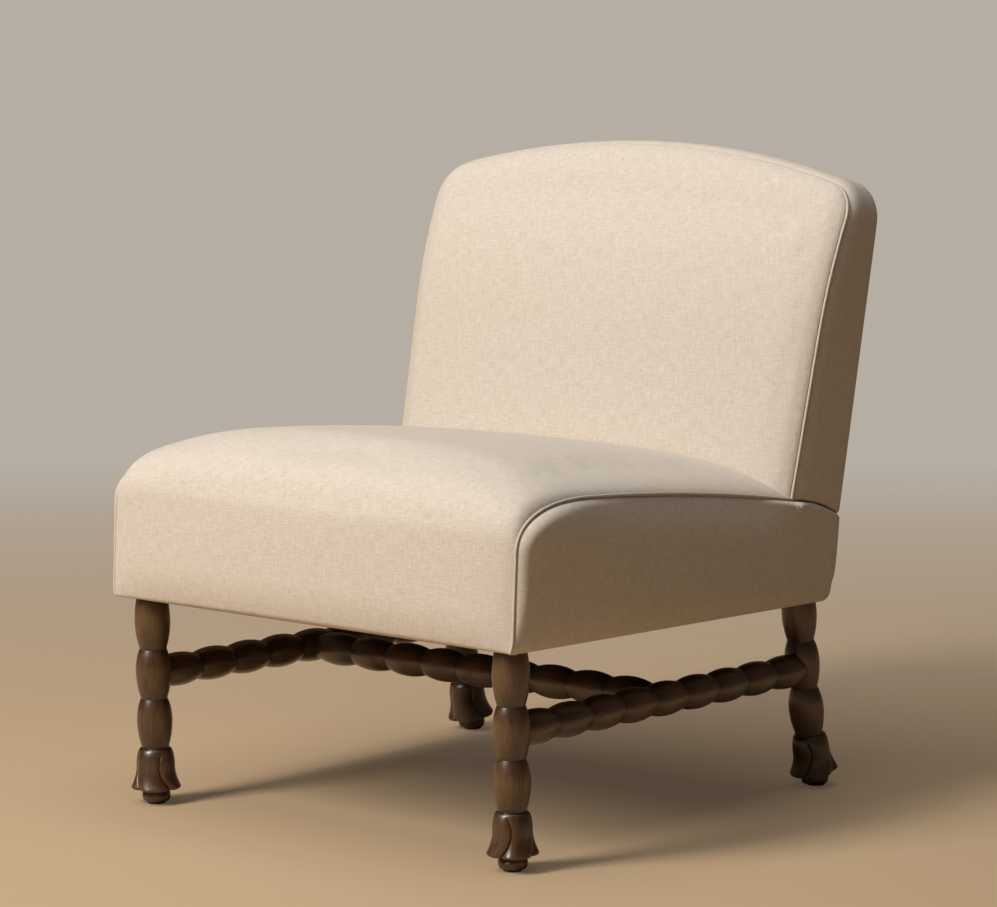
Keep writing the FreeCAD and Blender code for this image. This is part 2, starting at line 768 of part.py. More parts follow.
# Springs, clips, cloths and webbing
def spring_wire(x_middle, y_start, y_end, z):
    """A flat zigzag wire: cross runs joined by half turns, each half turn as two quarter arcs."""
    step = (y_end - y_start) / SPRING_RUNS
    radius = step / 2
    reach = size.spring_width / 2 - radius
    edges = []
    for n in range(SPRING_RUNS + 1):
        y = y_start + n * step
        way = 1 if n % 2 == 0 else -1
        start, end = Vector(x_middle - way * reach, y, z), Vector(x_middle + way * reach, y, z)
        edges.append(Part.LineSegment(start, end).toShape())
        if n == SPRING_RUNS:
            break
        bend = radius * math.sqrt(0.5)
        far = end + Vector(way * radius, radius, 0)
        first = end + Vector(way * bend, radius - bend, 0)
        second = end + Vector(way * bend, radius + bend, 0)
        turned = end + Vector(0, step, 0)
        edges.append(Part.Arc(end, first, far).toShape())
        edges.append(Part.Arc(far, second, turned).toShape())
    path = Part.Wire(edges)
    start = path.Vertexes[0].Point
    profile = Part.Wire([Part.Circle(start, X_AXIS, size.spring_wire / 2).toShape()])
    return path.makePipeShell([profile], True, False)


def make_springs():
    """Zigzag seat springs in clips on the front and rear rails, with the deck cloth over them."""
    y_start = frame_front + size.rail_thickness / 2
    y_end = rear_rail_y + size.rail_thickness / 2
    z = size.rail_height + size.spring_clip_height / 2
    spacing = 2 * post_inner_rear / SPRING_COUNT
    springs = []
    clips = []
    for n in range(SPRING_COUNT):
        x = (n - (SPRING_COUNT - 1) / 2) * spacing
        springs.append(formed(f"seat_spring_{n}", spring_wire(x, y_start, y_end, z), seat_frame))
        for end, y in (("front", y_start), ("rear", y_end)):
            name = f"{end}_clip_{n}"
            low = (x - size.spring_clip_width / 2, y - size.spring_clip_depth / 2, size.rail_height)
            extent = ("dims.spring_clip_width", "dims.spring_clip_depth", "dims.spring_clip_height")
            tunnel = rod(
                f"{name}_tunnel",
                seat_to_chair(y, z, x - size.spring_clip_width),
                X_AXIS,
                "dims.spring_wire + 2 * dims.fit_clearance",
                "2 * dims.spring_clip_width",
            )
            clips.append(cut(name, block(f"{name}_plate", seat_frame, low, extent), [tunnel]))
    keep_group("seat_springs", springs)
    keep_group("spring_clips", clips)

    low = (-frame_face, frame_front, deck_height)
    deck_end = back_to_seat(-post_front - size.webbing_thickness, deck_height)[0] - size.deck_gap
    derive("deck_depth", deck_end - frame_front)
    extent = ("2 * dims.frame_face", "dims.deck_depth", "dims.deck_cloth_thickness")
    keep("deck_cloth", block("deck_cloth_sheet", seat_frame, low, extent))

    straps = []
    strap_length = "2 * (dims.post_inner_rear + dims.webbing_overlap)"
    extent = (strap_length, "dims.webbing_thickness", "dims.webbing_width")
    first = size.back_rail_start + size.back_rail_height
    gap = (crest_joint - first - WEBBING_COUNT * size.webbing_width) / (WEBBING_COUNT + 1)
    for n in range(WEBBING_COUNT):
        z = first + gap + n * (gap + size.webbing_width)
        low = (-post_inner_rear - size.webbing_overlap, -post_front - size.webbing_thickness, z)
        straps.append(block(f"back_strap_{n}", back_frame, low, extent))
    keep_group("back_webbing", straps)

    sheet_low = (-frame_face, frame_front, -size.dust_cloth_thickness)
    extent = ("2 * dims.frame_face", "dims.seat_depth - 2 * dims.frame_front", "dims.dust_cloth_thickness")
    cloth = block("dust_cloth_sheet", seat_frame, sheet_low, extent)
    notches = []
    for side, sign in SIDES:
        for end, line in (("front", front_line), ("rear", rear_line)):
            up = lean_direction(line.spans[-1][2])
            start = line.top + Vector(sign * line.x, 0, 0) - up * size.bead_diameter
            notch = rod(f"{end}_{side}_notch", start, up, "dims.bead_diameter", "2 * dims.bead_diameter")
            notches.append(notch)
    keep("dust_cloth", cut("dust_cloth_notched", cloth, notches))


# Seat upholstery
def fullness(share):
    """Share of a crown's height at a share of its half width."""
    return (1 - min(1, abs(share)) ** CROWN_POWER) ** CROWN_ROOT


def crown_stations(half):
    """Places across the width where a crowned form has a section."""
    right = [half * share for share in CROWN_STATIONS]
    return [-x for x in reversed(right)] + [0] + right


def arc(a, b, c):
    return Part.Arc(Vector(*a), Vector(*b), Vector(*c)).toShape()


def segment(a, b):
    return Part.LineSegment(Vector(*a), Vector(*b)).toShape()


def roll_points(x, rise, inset):
    """Seam line of the seat from the front face over the roll, raised by the crown's height there."""
    drop = size.seat_rise_front - size.roll_start
    points = []
    for share in ROLL_STATIONS:
        turn = (1 - (1 - share) ** ROLL_POWER) ** (1 / ROLL_POWER)
        lift = rise * (ROLL_LIFT + (1 - ROLL_LIFT) * turn)
        y = size.front_lean + inset + share * size.roll_depth
        points.append((x, y, size.roll_start + drop * turn + lift - inset * turn))
    return points


def back_joint_y(z):
    """Where the front edge of the back's side stands at a height of the seat frame."""
    low = back_to_seat(-size.back_thickness, size.back_low_height)
    high = back_to_seat(-size.back_thickness_mid, size.back_mid_height)
    share = (z - low[1]) / (high[1] - low[1])
    return low[0] + share * (high[0] - low[0])


def seat_section(x, inset):
    """Closed side view of the seat at x: bulged front, roll and arched top, with spare below and behind."""
    share = fullness(x / (seat_half - size.welt_width))
    rise = size.seat_crown * share
    bulge = FLATTEST + (size.front_bulge - FLATTEST) * share
    start, first, second, third, top = roll_points(x, rise, inset)
    rear = (x, back_joint_y(size.seat_rise_rear), size.seat_rise_rear + rise - inset)
    fall = (rear[2] - top[2]) / (rear[1] - top[1])
    beyond = (x, rear[1] + SPARE, rear[2] + fall * SPARE)
    low = (x, inset, 0)
    front = (x, inset + size.front_lean / 2 - bulge, start[2] / 2)
    middle = (x, (top[1] + rear[1]) / 2, (top[2] + rear[2]) / 2 + size.seat_top_arch)
    return Part.Wire([
        segment((x, beyond[1], -SPARE), (x, inset, -SPARE)),
        segment((x, inset, -SPARE), low),
        arc(low, front, start),
        arc(start, first, second),
        arc(second, third, top),
        arc(top, middle, rear),
        segment(rear, beyond),
        segment(beyond, (x, beyond[1], -SPARE)),
    ])


def seat_loft(inset):
    """The seat's crowned form: side views across the width, the middle ones fuller than the edges."""
    sections = [seat_section(x, inset) for x in crown_stations(seat_half - size.welt_width)]
    return Part.makeLoft(sections, True, False)


def seat_trimmed(inset, low, high):
    """The seat's form between two corners, cut off just short of the back's front face."""
    form = seat_loft(inset).common(slab(Placement(), low, high))
    back = placed(back_loft(-size.soft_clearance), seat_frame.inverse().multiply(back_frame))
    return form.cut(back)


def side_outline(x, inset, edge, rear):
    """Outline of a seat side: inset from the bottom, edge from the roll and top, rear from the back."""
    start, first, second, third, top = roll_points(x, 0, edge)
    base = max(0, inset)
    lean = math.tan(rake_angle - pitch_angle)
    seam_low = size.rear_seam_height - inset
    rear_low_y = size.seat_depth - rear
    corner = size.rear_corner_radius
    bend = corner * (1 - math.sqrt(0.5))
    rear_seam = (x, rear_low_y + lean * seam_low, seam_low)
    low_rear = (x, rear_low_y + lean * (base + corner), base + corner)
    low_bend = (x, rear_low_y - bend + lean * bend, base + bend)
    low_front = (x, rear_low_y - corner, base)
    joint_z = size.seat_rise_rear - edge
    joint_y = back_joint_y(joint_z)
    joint = (x, joint_y, joint_z)
    seam_mid = (x, (joint[1] + rear_seam[1]) / 2, (joint_z + seam_low) / 2 + size.rear_seam_bow)
    middle_z = (top[2] + joint_z) / 2 + size.seat_top_arch
    middle = (x, (top[1] + joint_y) / 2, middle_z)
    corner_front = (x, edge, base)
    return Part.Wire([
        segment(low_front, corner_front),
        segment(corner_front, start),
        arc(start, first, second),
        arc(second, third, top),
        arc(top, middle, joint),
        arc(joint, seam_mid, rear_seam),
        segment(rear_seam, low_rear),
        arc(low_rear, low_bend, low_front),
    ])


def side_prism(near, far, inset, edge, rear):
    face = Part.Face(side_outline(near, inset, edge, rear))
    return face.extrude(Vector(far - near, 0, 0))


def side_form(near, far, edge, rear):
    """A seat side from x near to x far, with a bulged outer face that is drawn in at its seams."""
    sections = []
    for bulge_share, draw_share in SIDE_STATIONS:
        x = far + bulge_share * size.side_bulge
        draw = draw_share * size.side_draw
        sections.append(side_outline(x, draw, edge + draw, rear + draw))
    return side_prism(near, far, 0, edge, rear).fuse(Part.makeLoft(sections, True, False)).removeSplitter()


def mirrored(shape, sign):
    return shape if sign > 0 else shape.mirror(Vector(0, 0, 0), X_AXIS)


def make_seat():
    """Foam, rail pads, covers and welts of the seat."""
    skin = size.cover_thickness
    gap = size.soft_clearance
    welt = size.welt_width
    inner = skin + gap
    foam_base = deck_height + size.deck_cloth_thickness + gap
    foam = seat_trimmed(inner, (-frame_face, -FAR, foam_base), (frame_face, FAR, FAR))
    keep("seat_foam", formed("seat_foam_form", foam, seat_frame))
    pad = seat_trimmed(inner, (-frame_face, -FAR, 0), (frame_face, frame_front - gap, deck_height))
    keep("front_rail_pad", formed("front_rail_pad_form", pad, seat_frame))
    cover = seat_trimmed(0, (-FAR, -FAR, 0), (FAR, FAR, FAR)).cut(seat_loft(skin))
    keep("seat_cover", formed("seat_cover_form", cover, seat_frame))

    edge = welt + gap
    rear = skin + gap
    for side, sign in SIDES:
        pad = side_form(frame_face + gap, seat_half - skin - gap, edge + gap, rear + gap)
        keep(f"{side}_side_pad", formed(f"{side}_side_pad_form", mirrored(pad, sign), seat_frame))
        hollow = side_form(frame_face, seat_half - skin, edge, rear)
        panel = side_form(seat_half - skin - gap, seat_half, edge, rear).cut(hollow)
        keep(f"{side}_side_panel", formed(f"{side}_side_panel_form", mirrored(panel, sign), seat_frame))
        strip = side_prism(seat_half - welt, seat_half, 0, 0, rear)
        inside = side_prism(seat_half - 2 * welt, seat_half + welt, -welt, welt, -FAR / 2)
        behind = slab(Placement(), (0, back_joint_y(size.seat_rise_rear), -FAR), (FAR, FAR, FAR))
        strip = strip.cut(inside).cut(behind)
        keep(f"{side}_seat_welt", formed(f"{side}_seat_welt_form", mirrored(strip, sign), seat_frame))


# Back upholstery
def back_section(x, inset):
    """Closed side view of the back at x: rear face, straight lower front, and a front that rolls back."""
    crown = size.back_crown * fullness(x / seat_half)
    low_z, mid_z, top_z = 0, size.back_mid_height, size.back_height + SPARE
    slope = (size.back_thickness - size.back_thickness_mid) / (mid_z - size.back_low_height)

    def front(z):
        roll = max(0, z - mid_z) ** 2 / (2 * size.back_roll_radius)
        return -(size.back_thickness_mid - slope * (z - mid_z) - roll + crown) + inset

    rear = 0
    middle_z = (mid_z + top_z) / 2
    corners = [(x, front(z), z) for z in (low_z, mid_z, middle_z, top_z)]
    return Part.Wire([
        segment((x, rear, top_z), (x, rear, low_z)),
        segment((x, rear, low_z), corners[0]),
        segment(corners[0], corners[1]),
        arc(corners[1], corners[2], corners[3]),
        segment(corners[3], (x, rear, top_z)),
    ])


def back_loft(inset):
    """The back's crowned form, wider than its outline so that the outline can trim it."""
    stations = crown_stations(seat_half)
    margin = size.back_width / 2 + SPARE
    sections = [back_section(x, inset) for x in [-margin] + stations + [margin]]
    return Part.makeLoft(sections, True, False)


def below_side_seam(gap):
    """The space of both seat sides, grown by a gap, which the back's side pieces stop above."""
    reach = seat_half + size.side_bulge + size.back_flare + SPARE
    form = side_prism(frame_face - gap, reach, 0, -gap, -4 * size.cover_thickness)
    both = form.fuse(form.mirror(Vector(0, 0, 0), X_AXIS))
    return placed(both, seat_frame)


def make_back():
    """Foam, front cover, boxing, outside panel and welt of the back."""
    skin = size.cover_thickness
    gap = size.soft_clearance
    welt = size.welt_width
    deep = 2 * size.back_thickness
    deck = slab(seat_frame, (-FAR, -FAR, -FAR), (FAR, FAR, deck_height + size.deck_cloth_thickness + gap))
    seam = below_side_seam(gap)

    inner = skin + gap
    edge_clear = welt + gap
    form = back_loft(inner).common(back_prism(edge_clear, inner, deep))
    window = back_prism(size.frame_inset - gap, 0, post_front + size.webbing_thickness + gap)
    foam = placed(form.cut(window), back_frame)
    keep("back_foam", formed("back_foam_form", foam.cut(deck).cut(seam)))

    cover = back_loft(0).common(back_prism(welt, 0, deep)).cut(back_loft(skin))
    cover = placed(cover, back_frame).cut(deck).cut(seam)
    keep("back_cover", formed("back_cover_form", cover))

    band = back_prism(0, skin + gap, deep).cut(back_prism(skin, 0, 2 * deep))
    band = placed(band.common(back_loft(edge_clear)), back_frame)
    keep("back_boxing", formed("back_boxing_form", band.cut(deck).cut(seam)))

    strip = back_prism(0, 0, deep).cut(back_prism(welt, -deep, 2 * deep))
    strip = placed(strip.common(back_loft(0).cut(back_loft(welt))), back_frame)
    keep("back_welt", formed("back_welt_form", strip.cut(seam)))

    panel = placed(back_prism(0, 0, skin), back_frame)
    keep("outside_back", formed("outside_back_form", panel.cut(below_seat())))


def write_parts():
    """Check every feature, then write each piece to its own file."""
    doc.recompute()
    failed = [o.Label for o in doc.Objects if "Invalid" in o.State or "Error" in o.State]
    if failed:
        raise RuntimeError(f"features that failed: {failed}")
    for piece, solids in pieces:
        shape = piece.Shape
        if shape.isNull() or not shape.isValid() or len(shape.Solids) != solids:
            raise RuntimeError(f"{piece.Label} isn't {solids} valid solid(s)")
    os.makedirs("parts", exist_ok=True)
    for piece, solids in pieces:
        piece.Shape.exportStep(f"parts/{piece.Label}.step")
        box = piece.Shape.BoundBox
        print(f"{piece.Label}: {solids} solid(s), {piece.Shape.Volume / 1000:.1f} cm3,"
              f" z {box.ZMin:.1f} to {box.ZMax:.1f}")


make_base()
make_frame()
make_springs()
make_seat()
make_back()
write_parts()
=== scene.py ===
"""Bobbin accent chair: upholstery, turned wood and finishes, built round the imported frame.

Metres, +Z up, the chair faces -Y and the origin is on the floor under the middle of the chair. The seat is
drawn in a seat frame, whose underside falls a little to the rear, and the back in a back frame, whose rear
face leans. Every surface is a function of two parameters on a grid.
"""
import math

import bmesh
import bpy
import numpy as np
from bpy.props import FloatProperty, FloatVectorProperty, IntProperty, PointerProperty
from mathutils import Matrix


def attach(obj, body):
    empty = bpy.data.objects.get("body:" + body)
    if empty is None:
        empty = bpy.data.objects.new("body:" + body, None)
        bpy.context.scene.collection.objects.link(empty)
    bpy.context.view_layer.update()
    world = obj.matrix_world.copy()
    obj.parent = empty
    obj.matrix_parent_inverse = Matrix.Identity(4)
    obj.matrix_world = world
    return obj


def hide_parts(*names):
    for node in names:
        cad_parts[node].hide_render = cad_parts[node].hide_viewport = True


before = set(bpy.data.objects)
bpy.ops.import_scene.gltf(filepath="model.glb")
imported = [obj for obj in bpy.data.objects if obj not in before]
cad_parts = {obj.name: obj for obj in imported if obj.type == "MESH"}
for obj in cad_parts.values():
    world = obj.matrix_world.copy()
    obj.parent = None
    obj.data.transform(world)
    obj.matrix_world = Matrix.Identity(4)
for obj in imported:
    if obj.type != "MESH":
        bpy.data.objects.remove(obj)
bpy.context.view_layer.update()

bl_info = {
    "name": "Bobbin Accent Chair",
    "version": (1, 0, 0),
    "blender": (4, 5, 0),
    "location": "3D View > Sidebar > Chair",
    "description": "Upholstery, turned legs and finishes of a bobbin accent chair",
    "category": "Add Mesh",
}

SIDES = (("left", -1), ("right", 1))
UV_NAME = "weave"

# Shape of a crown across its width, and of the seat's front roll
CROWN_POWER = 3.0
CROWN_ROOT = 0.68
ROLL_POWER = 2.4
ROLL_LIFT = 0.35

# Welding: points closer than the first are one, and faces thinner than the second go
WELD_DISTANCE = 1e-6
SLIVER = 1e-7

# Cloth settling: frames, pressure, mass, the reach below which a point is sewn down, and least divisors
SETTLE_FRAMES = 20
SETTLE_PRESSURE = 5.0
SETTLE_MASS = 0.1
SEWN_REACH = 1e-5
LEAST_TRAVEL = 1e-9
LEAST_NORMAL = 1e-12

# Welts: points round a tube, and a way that no welt runs along, by which its rings are turned
TUBE_AROUND = 12
TUBE_SKEW = (0.31, 0.17, 0.93)


def length(name, default, description):
    """A length that a user may change, in metres."""
    return FloatProperty(name=name, description=description, default=default, unit="LENGTH", precision=4)


def angle(name, degrees, description):
    """An angle that a user may change, given here in degrees."""
    return FloatProperty(name=name, description=description, default=math.radians(degrees), subtype="ANGLE")


def power(name, watts, description):
    """The power of a lamp that a user may change."""
    return FloatProperty(name=name, description=description, default=watts, unit="POWER")


def colour(name, default, description):
    """A linear colour that a user may change."""
    return FloatVectorProperty(
        name=name, description=description, default=default, subtype="COLOR", size=3, min=0, max=1
    )


class SeatSizes(bpy.types.PropertyGroup):
    """Sizes of the upholstered seat, in the seat frame."""

    width: length("Width", 0.636, "Between the two side seams")
    depth: length("Depth", 0.622, "From the front hem to the rear face")
    underside: length("Underside", 0.259, "Height of the front hem above the floor")
    pitch: angle("Pitch", 1.62, "Fall of the underside to the rear")
    rise_front: length("Front rise", 0.1704, "Seam height behind the front roll")
    rise_rear: length("Rear rise", 0.1334, "Seam height at the back")
    top_arch: length("Top arch", 0.006, "Arch of the seam between the roll and the back")
    crown: length("Crown", 0.048, "Height of the middle above the side seams")
    roll_start: length("Roll start", 0.114, "Height at which the front starts to roll over")
    roll_depth: length("Roll depth", 0.119, "Depth of the front roll")
    front_lean: length("Front lean", 0.0028, "How far the front leans in by the roll's start")
    front_bulge: length("Front bulge", 0.008, "Swell of the frame's front pad")
    front_swell: length("Front swell", 0.0095, "Swell of the cover over the front pad")
    lip_width: length("Lip width", 0.016, "How quickly that swell climbs from a side seam")
    side_bulge: length("Side bulge", 0.017, "Swell of the side panels")
    hem_lift: length("Hem lift", 0.0020, "How far the front hem draws up in its middle")
    rear_corner: length("Rear corner", 0.017, "Radius of the side panel's lower rear corner")
    rear_seam: length("Rear seam", 0.107, "Height of the side panel's rear seam at the rear edge")
    rear_seam_bow: length("Rear seam bow", 0.006, "Bow of that seam")
    deck: length("Deck", 0.0888, "Height of the deck under the seat foam")


class BackSizes(bpy.types.PropertyGroup):
    """Sizes of the upholstered back, in the back frame."""

    rake: angle("Rake", 9.3, "Lean of the rear face")
    height: length("Height", 0.556, "From the seat's underside to the crest, along the rear face")
    width: length("Width", 0.658, "Across the shoulders")
    flare: length("Flare", 0.011, "How much wider each shoulder is than the lower end")
    shoulder: length("Shoulder height", 0.465, "Height of the shoulders")
    low: length("Low height", 0.124, "Height at which the lower thickness is measured")
    mid: length("Middle height", 0.323, "Height at which the front starts to roll back")
    thickness_low: length("Lower thickness", 0.104, "Thickness at the seat")
    thickness_mid: length("Middle thickness", 0.092, "Thickness at the middle")
    roll_radius: length("Roll radius", 0.66, "Radius of the front above the middle")
    crown: length("Crown", 0.020, "Swell of the front across its width")
    lip: length("Lip", 0.017, "Part of that swell that is reached close to the front seam")
    lip_width: length("Lip width", 0.055, "How far from the front seam the lip is reached")
    rim_back: length("Rim depth", 0.0014, "How far the front seam lies behind the panel's rim")
    rim_in: length("Rim overhang", 0.0016, "How far the panel's rim stands out past the front seam")
    crest_radius: length("Crest radius", 1.18, "Radius of the arched top")
    crest_pad: length("Crest padding", 0.0003, "How far the padded crest stands over the frame's outline")
    corner: length("Corner radius", 0.047, "Radius of the shoulders")
    boxing_bulge: length("Boxing bulge", 0.0045, "Swell of the side and top band")
    rear_round: length("Rear rounding", 0.008, "Radius of the rear edge")


class TurningSizes(bpy.types.PropertyGroup):
    """Sizes of the bobbin-turned base."""

    bead: length("Leg bead", 0.044, "Diameter of a leg's beads")
    neck: length("Leg neck", 0.033, "Diameter between a leg's beads")
    head: length("Leg head", 0.037, "Diameter at the top of a leg")
    pitch: length("Bead pitch", 0.062, "Length of a bead on a leg")
    widest: length("Widest", 0.035, "Height of a bead's widest place above its lower neck")
    head_length: length("Head length", 0.066, "Length of the top bead")
    front_inset: length("Front inset", 0.033, "Front leg's centre line, in from the side seam")
    rear_inset: length("Rear inset", 0.036, "Rear leg's centre line, in from the side seam")
    front_setback: length("Front setback", 0.0345, "Front leg's centre line, behind the front hem")
    rear_setback: length("Rear setback", 0.018, "Rear leg's centre line, before the rear face")
    front_tilt: angle("Front tilt", 1.0, "Lean of a front leg")
    tilt_top: angle("Top tilt", 5.5, "Lean of a rear leg's top bead")
    tilt_step: angle("Tilt step", 2.6, "How much more each lower span leans")
    stretcher_bead: length("Stretcher bead", 0.042, "Diameter of a stretcher's beads")
    stretcher_neck: length("Stretcher neck", 0.032, "Diameter between a stretcher's beads")
    stretcher_front: length("Stretcher front height", 0.163, "Side stretcher's height at the front leg")
    stretcher_rear: length("Stretcher rear height", 0.1535, "Side stretcher's height at the rear leg")
    stretcher_beads: IntProperty(name="Stretcher beads", description="Beads on a stretcher", default=9)
    foot: length("Foot height", 0.070, "Height of the carved foot")
    glide: length("Glide", 0.003, "Thickness of the glide under a foot")
    petal_scallop: length("Petal scallop", 0.0036, "How far the rim draws in between two petals")
    petal_groove: length("Petal groove", 0.0022, "Depth of the carved line between two petals")


class Finishes(bpy.types.PropertyGroup):
    """Colours of the visible finishes."""

    cloth_light: colour("Cloth, light yarn", (0.79, 0.71, 0.62), "Lighter yarn of the cover cloth")
    cloth_dark: colour("Cloth, dark yarn", (0.60, 0.51, 0.42), "Darker yarn of the cover cloth")
    # Darkened, the dark grain also gives the painted shade at the necks, in the carved lines and over the
    # foot
    wood_dark: colour("Wood, dark grain", (0.030, 0.0115, 0.0035), "Dark grain of the turned wood")
    wood_mid: colour("Wood, ground", (0.104, 0.0440, 0.0130), "Ground colour of the turned wood")
    # The worn colour also paints a highlight on the foot's rim
    wood_worn_and_rim_highlight: colour("Wood, worn", (0.20, 0.094, 0.033), "Rubbed crests of the turned wood")
    timber: colour("Frame timber", (0.52, 0.36, 0.20), "Hidden frame timber")
    steel: colour("Steel", (0.55, 0.55, 0.56), "Springs, clips, bolts and inserts")
    glide: colour("Glide", (0.035, 0.030, 0.027), "Foot glides")
    inner_cloth: colour("Inner cloth", (0.42, 0.33, 0.20), "Webbing and deck cloth")
    dust_cloth: colour("Dust cloth", (0.016, 0.016, 0.017), "Cloth under the seat")


class StageSettings(bpy.types.PropertyGroup):
    """Floor, light and camera."""

    floor: colour("Floor", (0.55, 0.39, 0.235), "Floor and backdrop")
    # Painted light: a glow that the camera sees on the floor near the chair, lifting its shadows
    shadow_glow: colour("Shade", (0.50, 0.37, 0.25), "What the camera sees added to the floor's shadows")
    distance: colour("Distance", (0.47, 0.425, 0.37), "Backdrop far behind the chair, as the camera sees it")
    key: power("Key light", 204, "Power of the key light")
    key_width: length("Key width", 1.2, "Width of the key light")
    key_height: length("Key height", 2.4, "Height of the key light")
    key_turn: angle("Key turn", 17, "Key light's turn from the chair's front to its left")
    key_rise: angle("Key rise", 39, "Key light's height over the seat, as an angle")
    key_away: length("Key distance", 4.6, "Key light's distance from the seat")
    top: power("Top light", 40, "Power of the soft light overhead")
    fill: FloatProperty(name="Fill", description="Strength of the room's light", default=0.051)
    lens: FloatProperty(name="Lens", description="Focal length in millimetres", default=151.66)


class ChairSettings(bpy.types.PropertyGroup):
    """Everything a user may change about the chair."""

    seat: PointerProperty(type=SeatSizes)
    back: PointerProperty(type=BackSizes)
    base: PointerProperty(type=TurningSizes)
    finish: PointerProperty(type=Finishes)
    stage: PointerProperty(type=StageSettings)


# Frames and outlines


def into_frame(points, origin, lean):
    """Points of a frame that leans to the rear about X, set down at its origin in the chair."""
    x, y, z = np.moveaxis(np.asarray(points, float), -1, 0)
    c, s = math.cos(lean), math.sin(lean)
    return np.stack([x + origin[0], c * y + s * z + origin[1], c * z - s * y + origin[2]], axis=-1)


def out_of_frame(points, origin, lean):
    """The opposite of into_frame: points of the chair in a leaning frame."""
    x, y, z = np.moveaxis(np.asarray(points, float) - np.asarray(origin), -1, 0)
    c, s = math.cos(lean), math.sin(lean)
    return np.stack([x, c * y - s * z, s * y + c * z], axis=-1)


def grid(x, y, z):
    """Stack three arrays of coordinates, spread to one shape, into points."""
    return np.stack(np.broadcast_arrays(x, y, z), axis=-1)


def clamp(values):
    """Values held between 0 and 1."""
    return np.clip(values, 0, 1)


def evenly(count):
    """Even shares from 0 to 1."""
    return np.linspace(0, 1, count)


def fullness(share):
    """Share of a crown's height across its width: (1 - |share|^power)^root, from 1 in the middle to 0."""
    return (1 - clamp(np.abs(share)) ** CROWN_POWER) ** CROWN_ROOT


def swell_from_edge(distance, width):
    """A quarter circle that climbs from 0 at an edge to 1 at a width from it."""
    rest = 1 - clamp(distance / width)
    return np.sqrt(1 - rest**2)


def rounded_in(distance, radius):
    """How far an edge of that radius falls in, at a distance from the face that it rounds into."""
    return radius * (1 - swell_from_edge(distance, radius))


def distance_to(points, curve):
    """Distance of 2-D points to a curve given as close points."""
    flat = points.reshape(-1, 1, 2) - curve.reshape(1, -1, 2)
    return np.sqrt((flat**2).sum(-1).min(1)).reshape(points.shape[:-1])


def toward_edges(count, power=1.6):
    """Shares from -1 to 1 that crowd towards both edges: 1 - (1 - |u|)^power with the sign of u."""
    u = np.linspace(-1, 1, count)
    return np.sign(u) * (1 - (1 - np.abs(u)) ** power)


def rows_toward_edges(count, power):
    """The same shares, from 0 to 1."""
    return (toward_edges(count, power) + 1) / 2


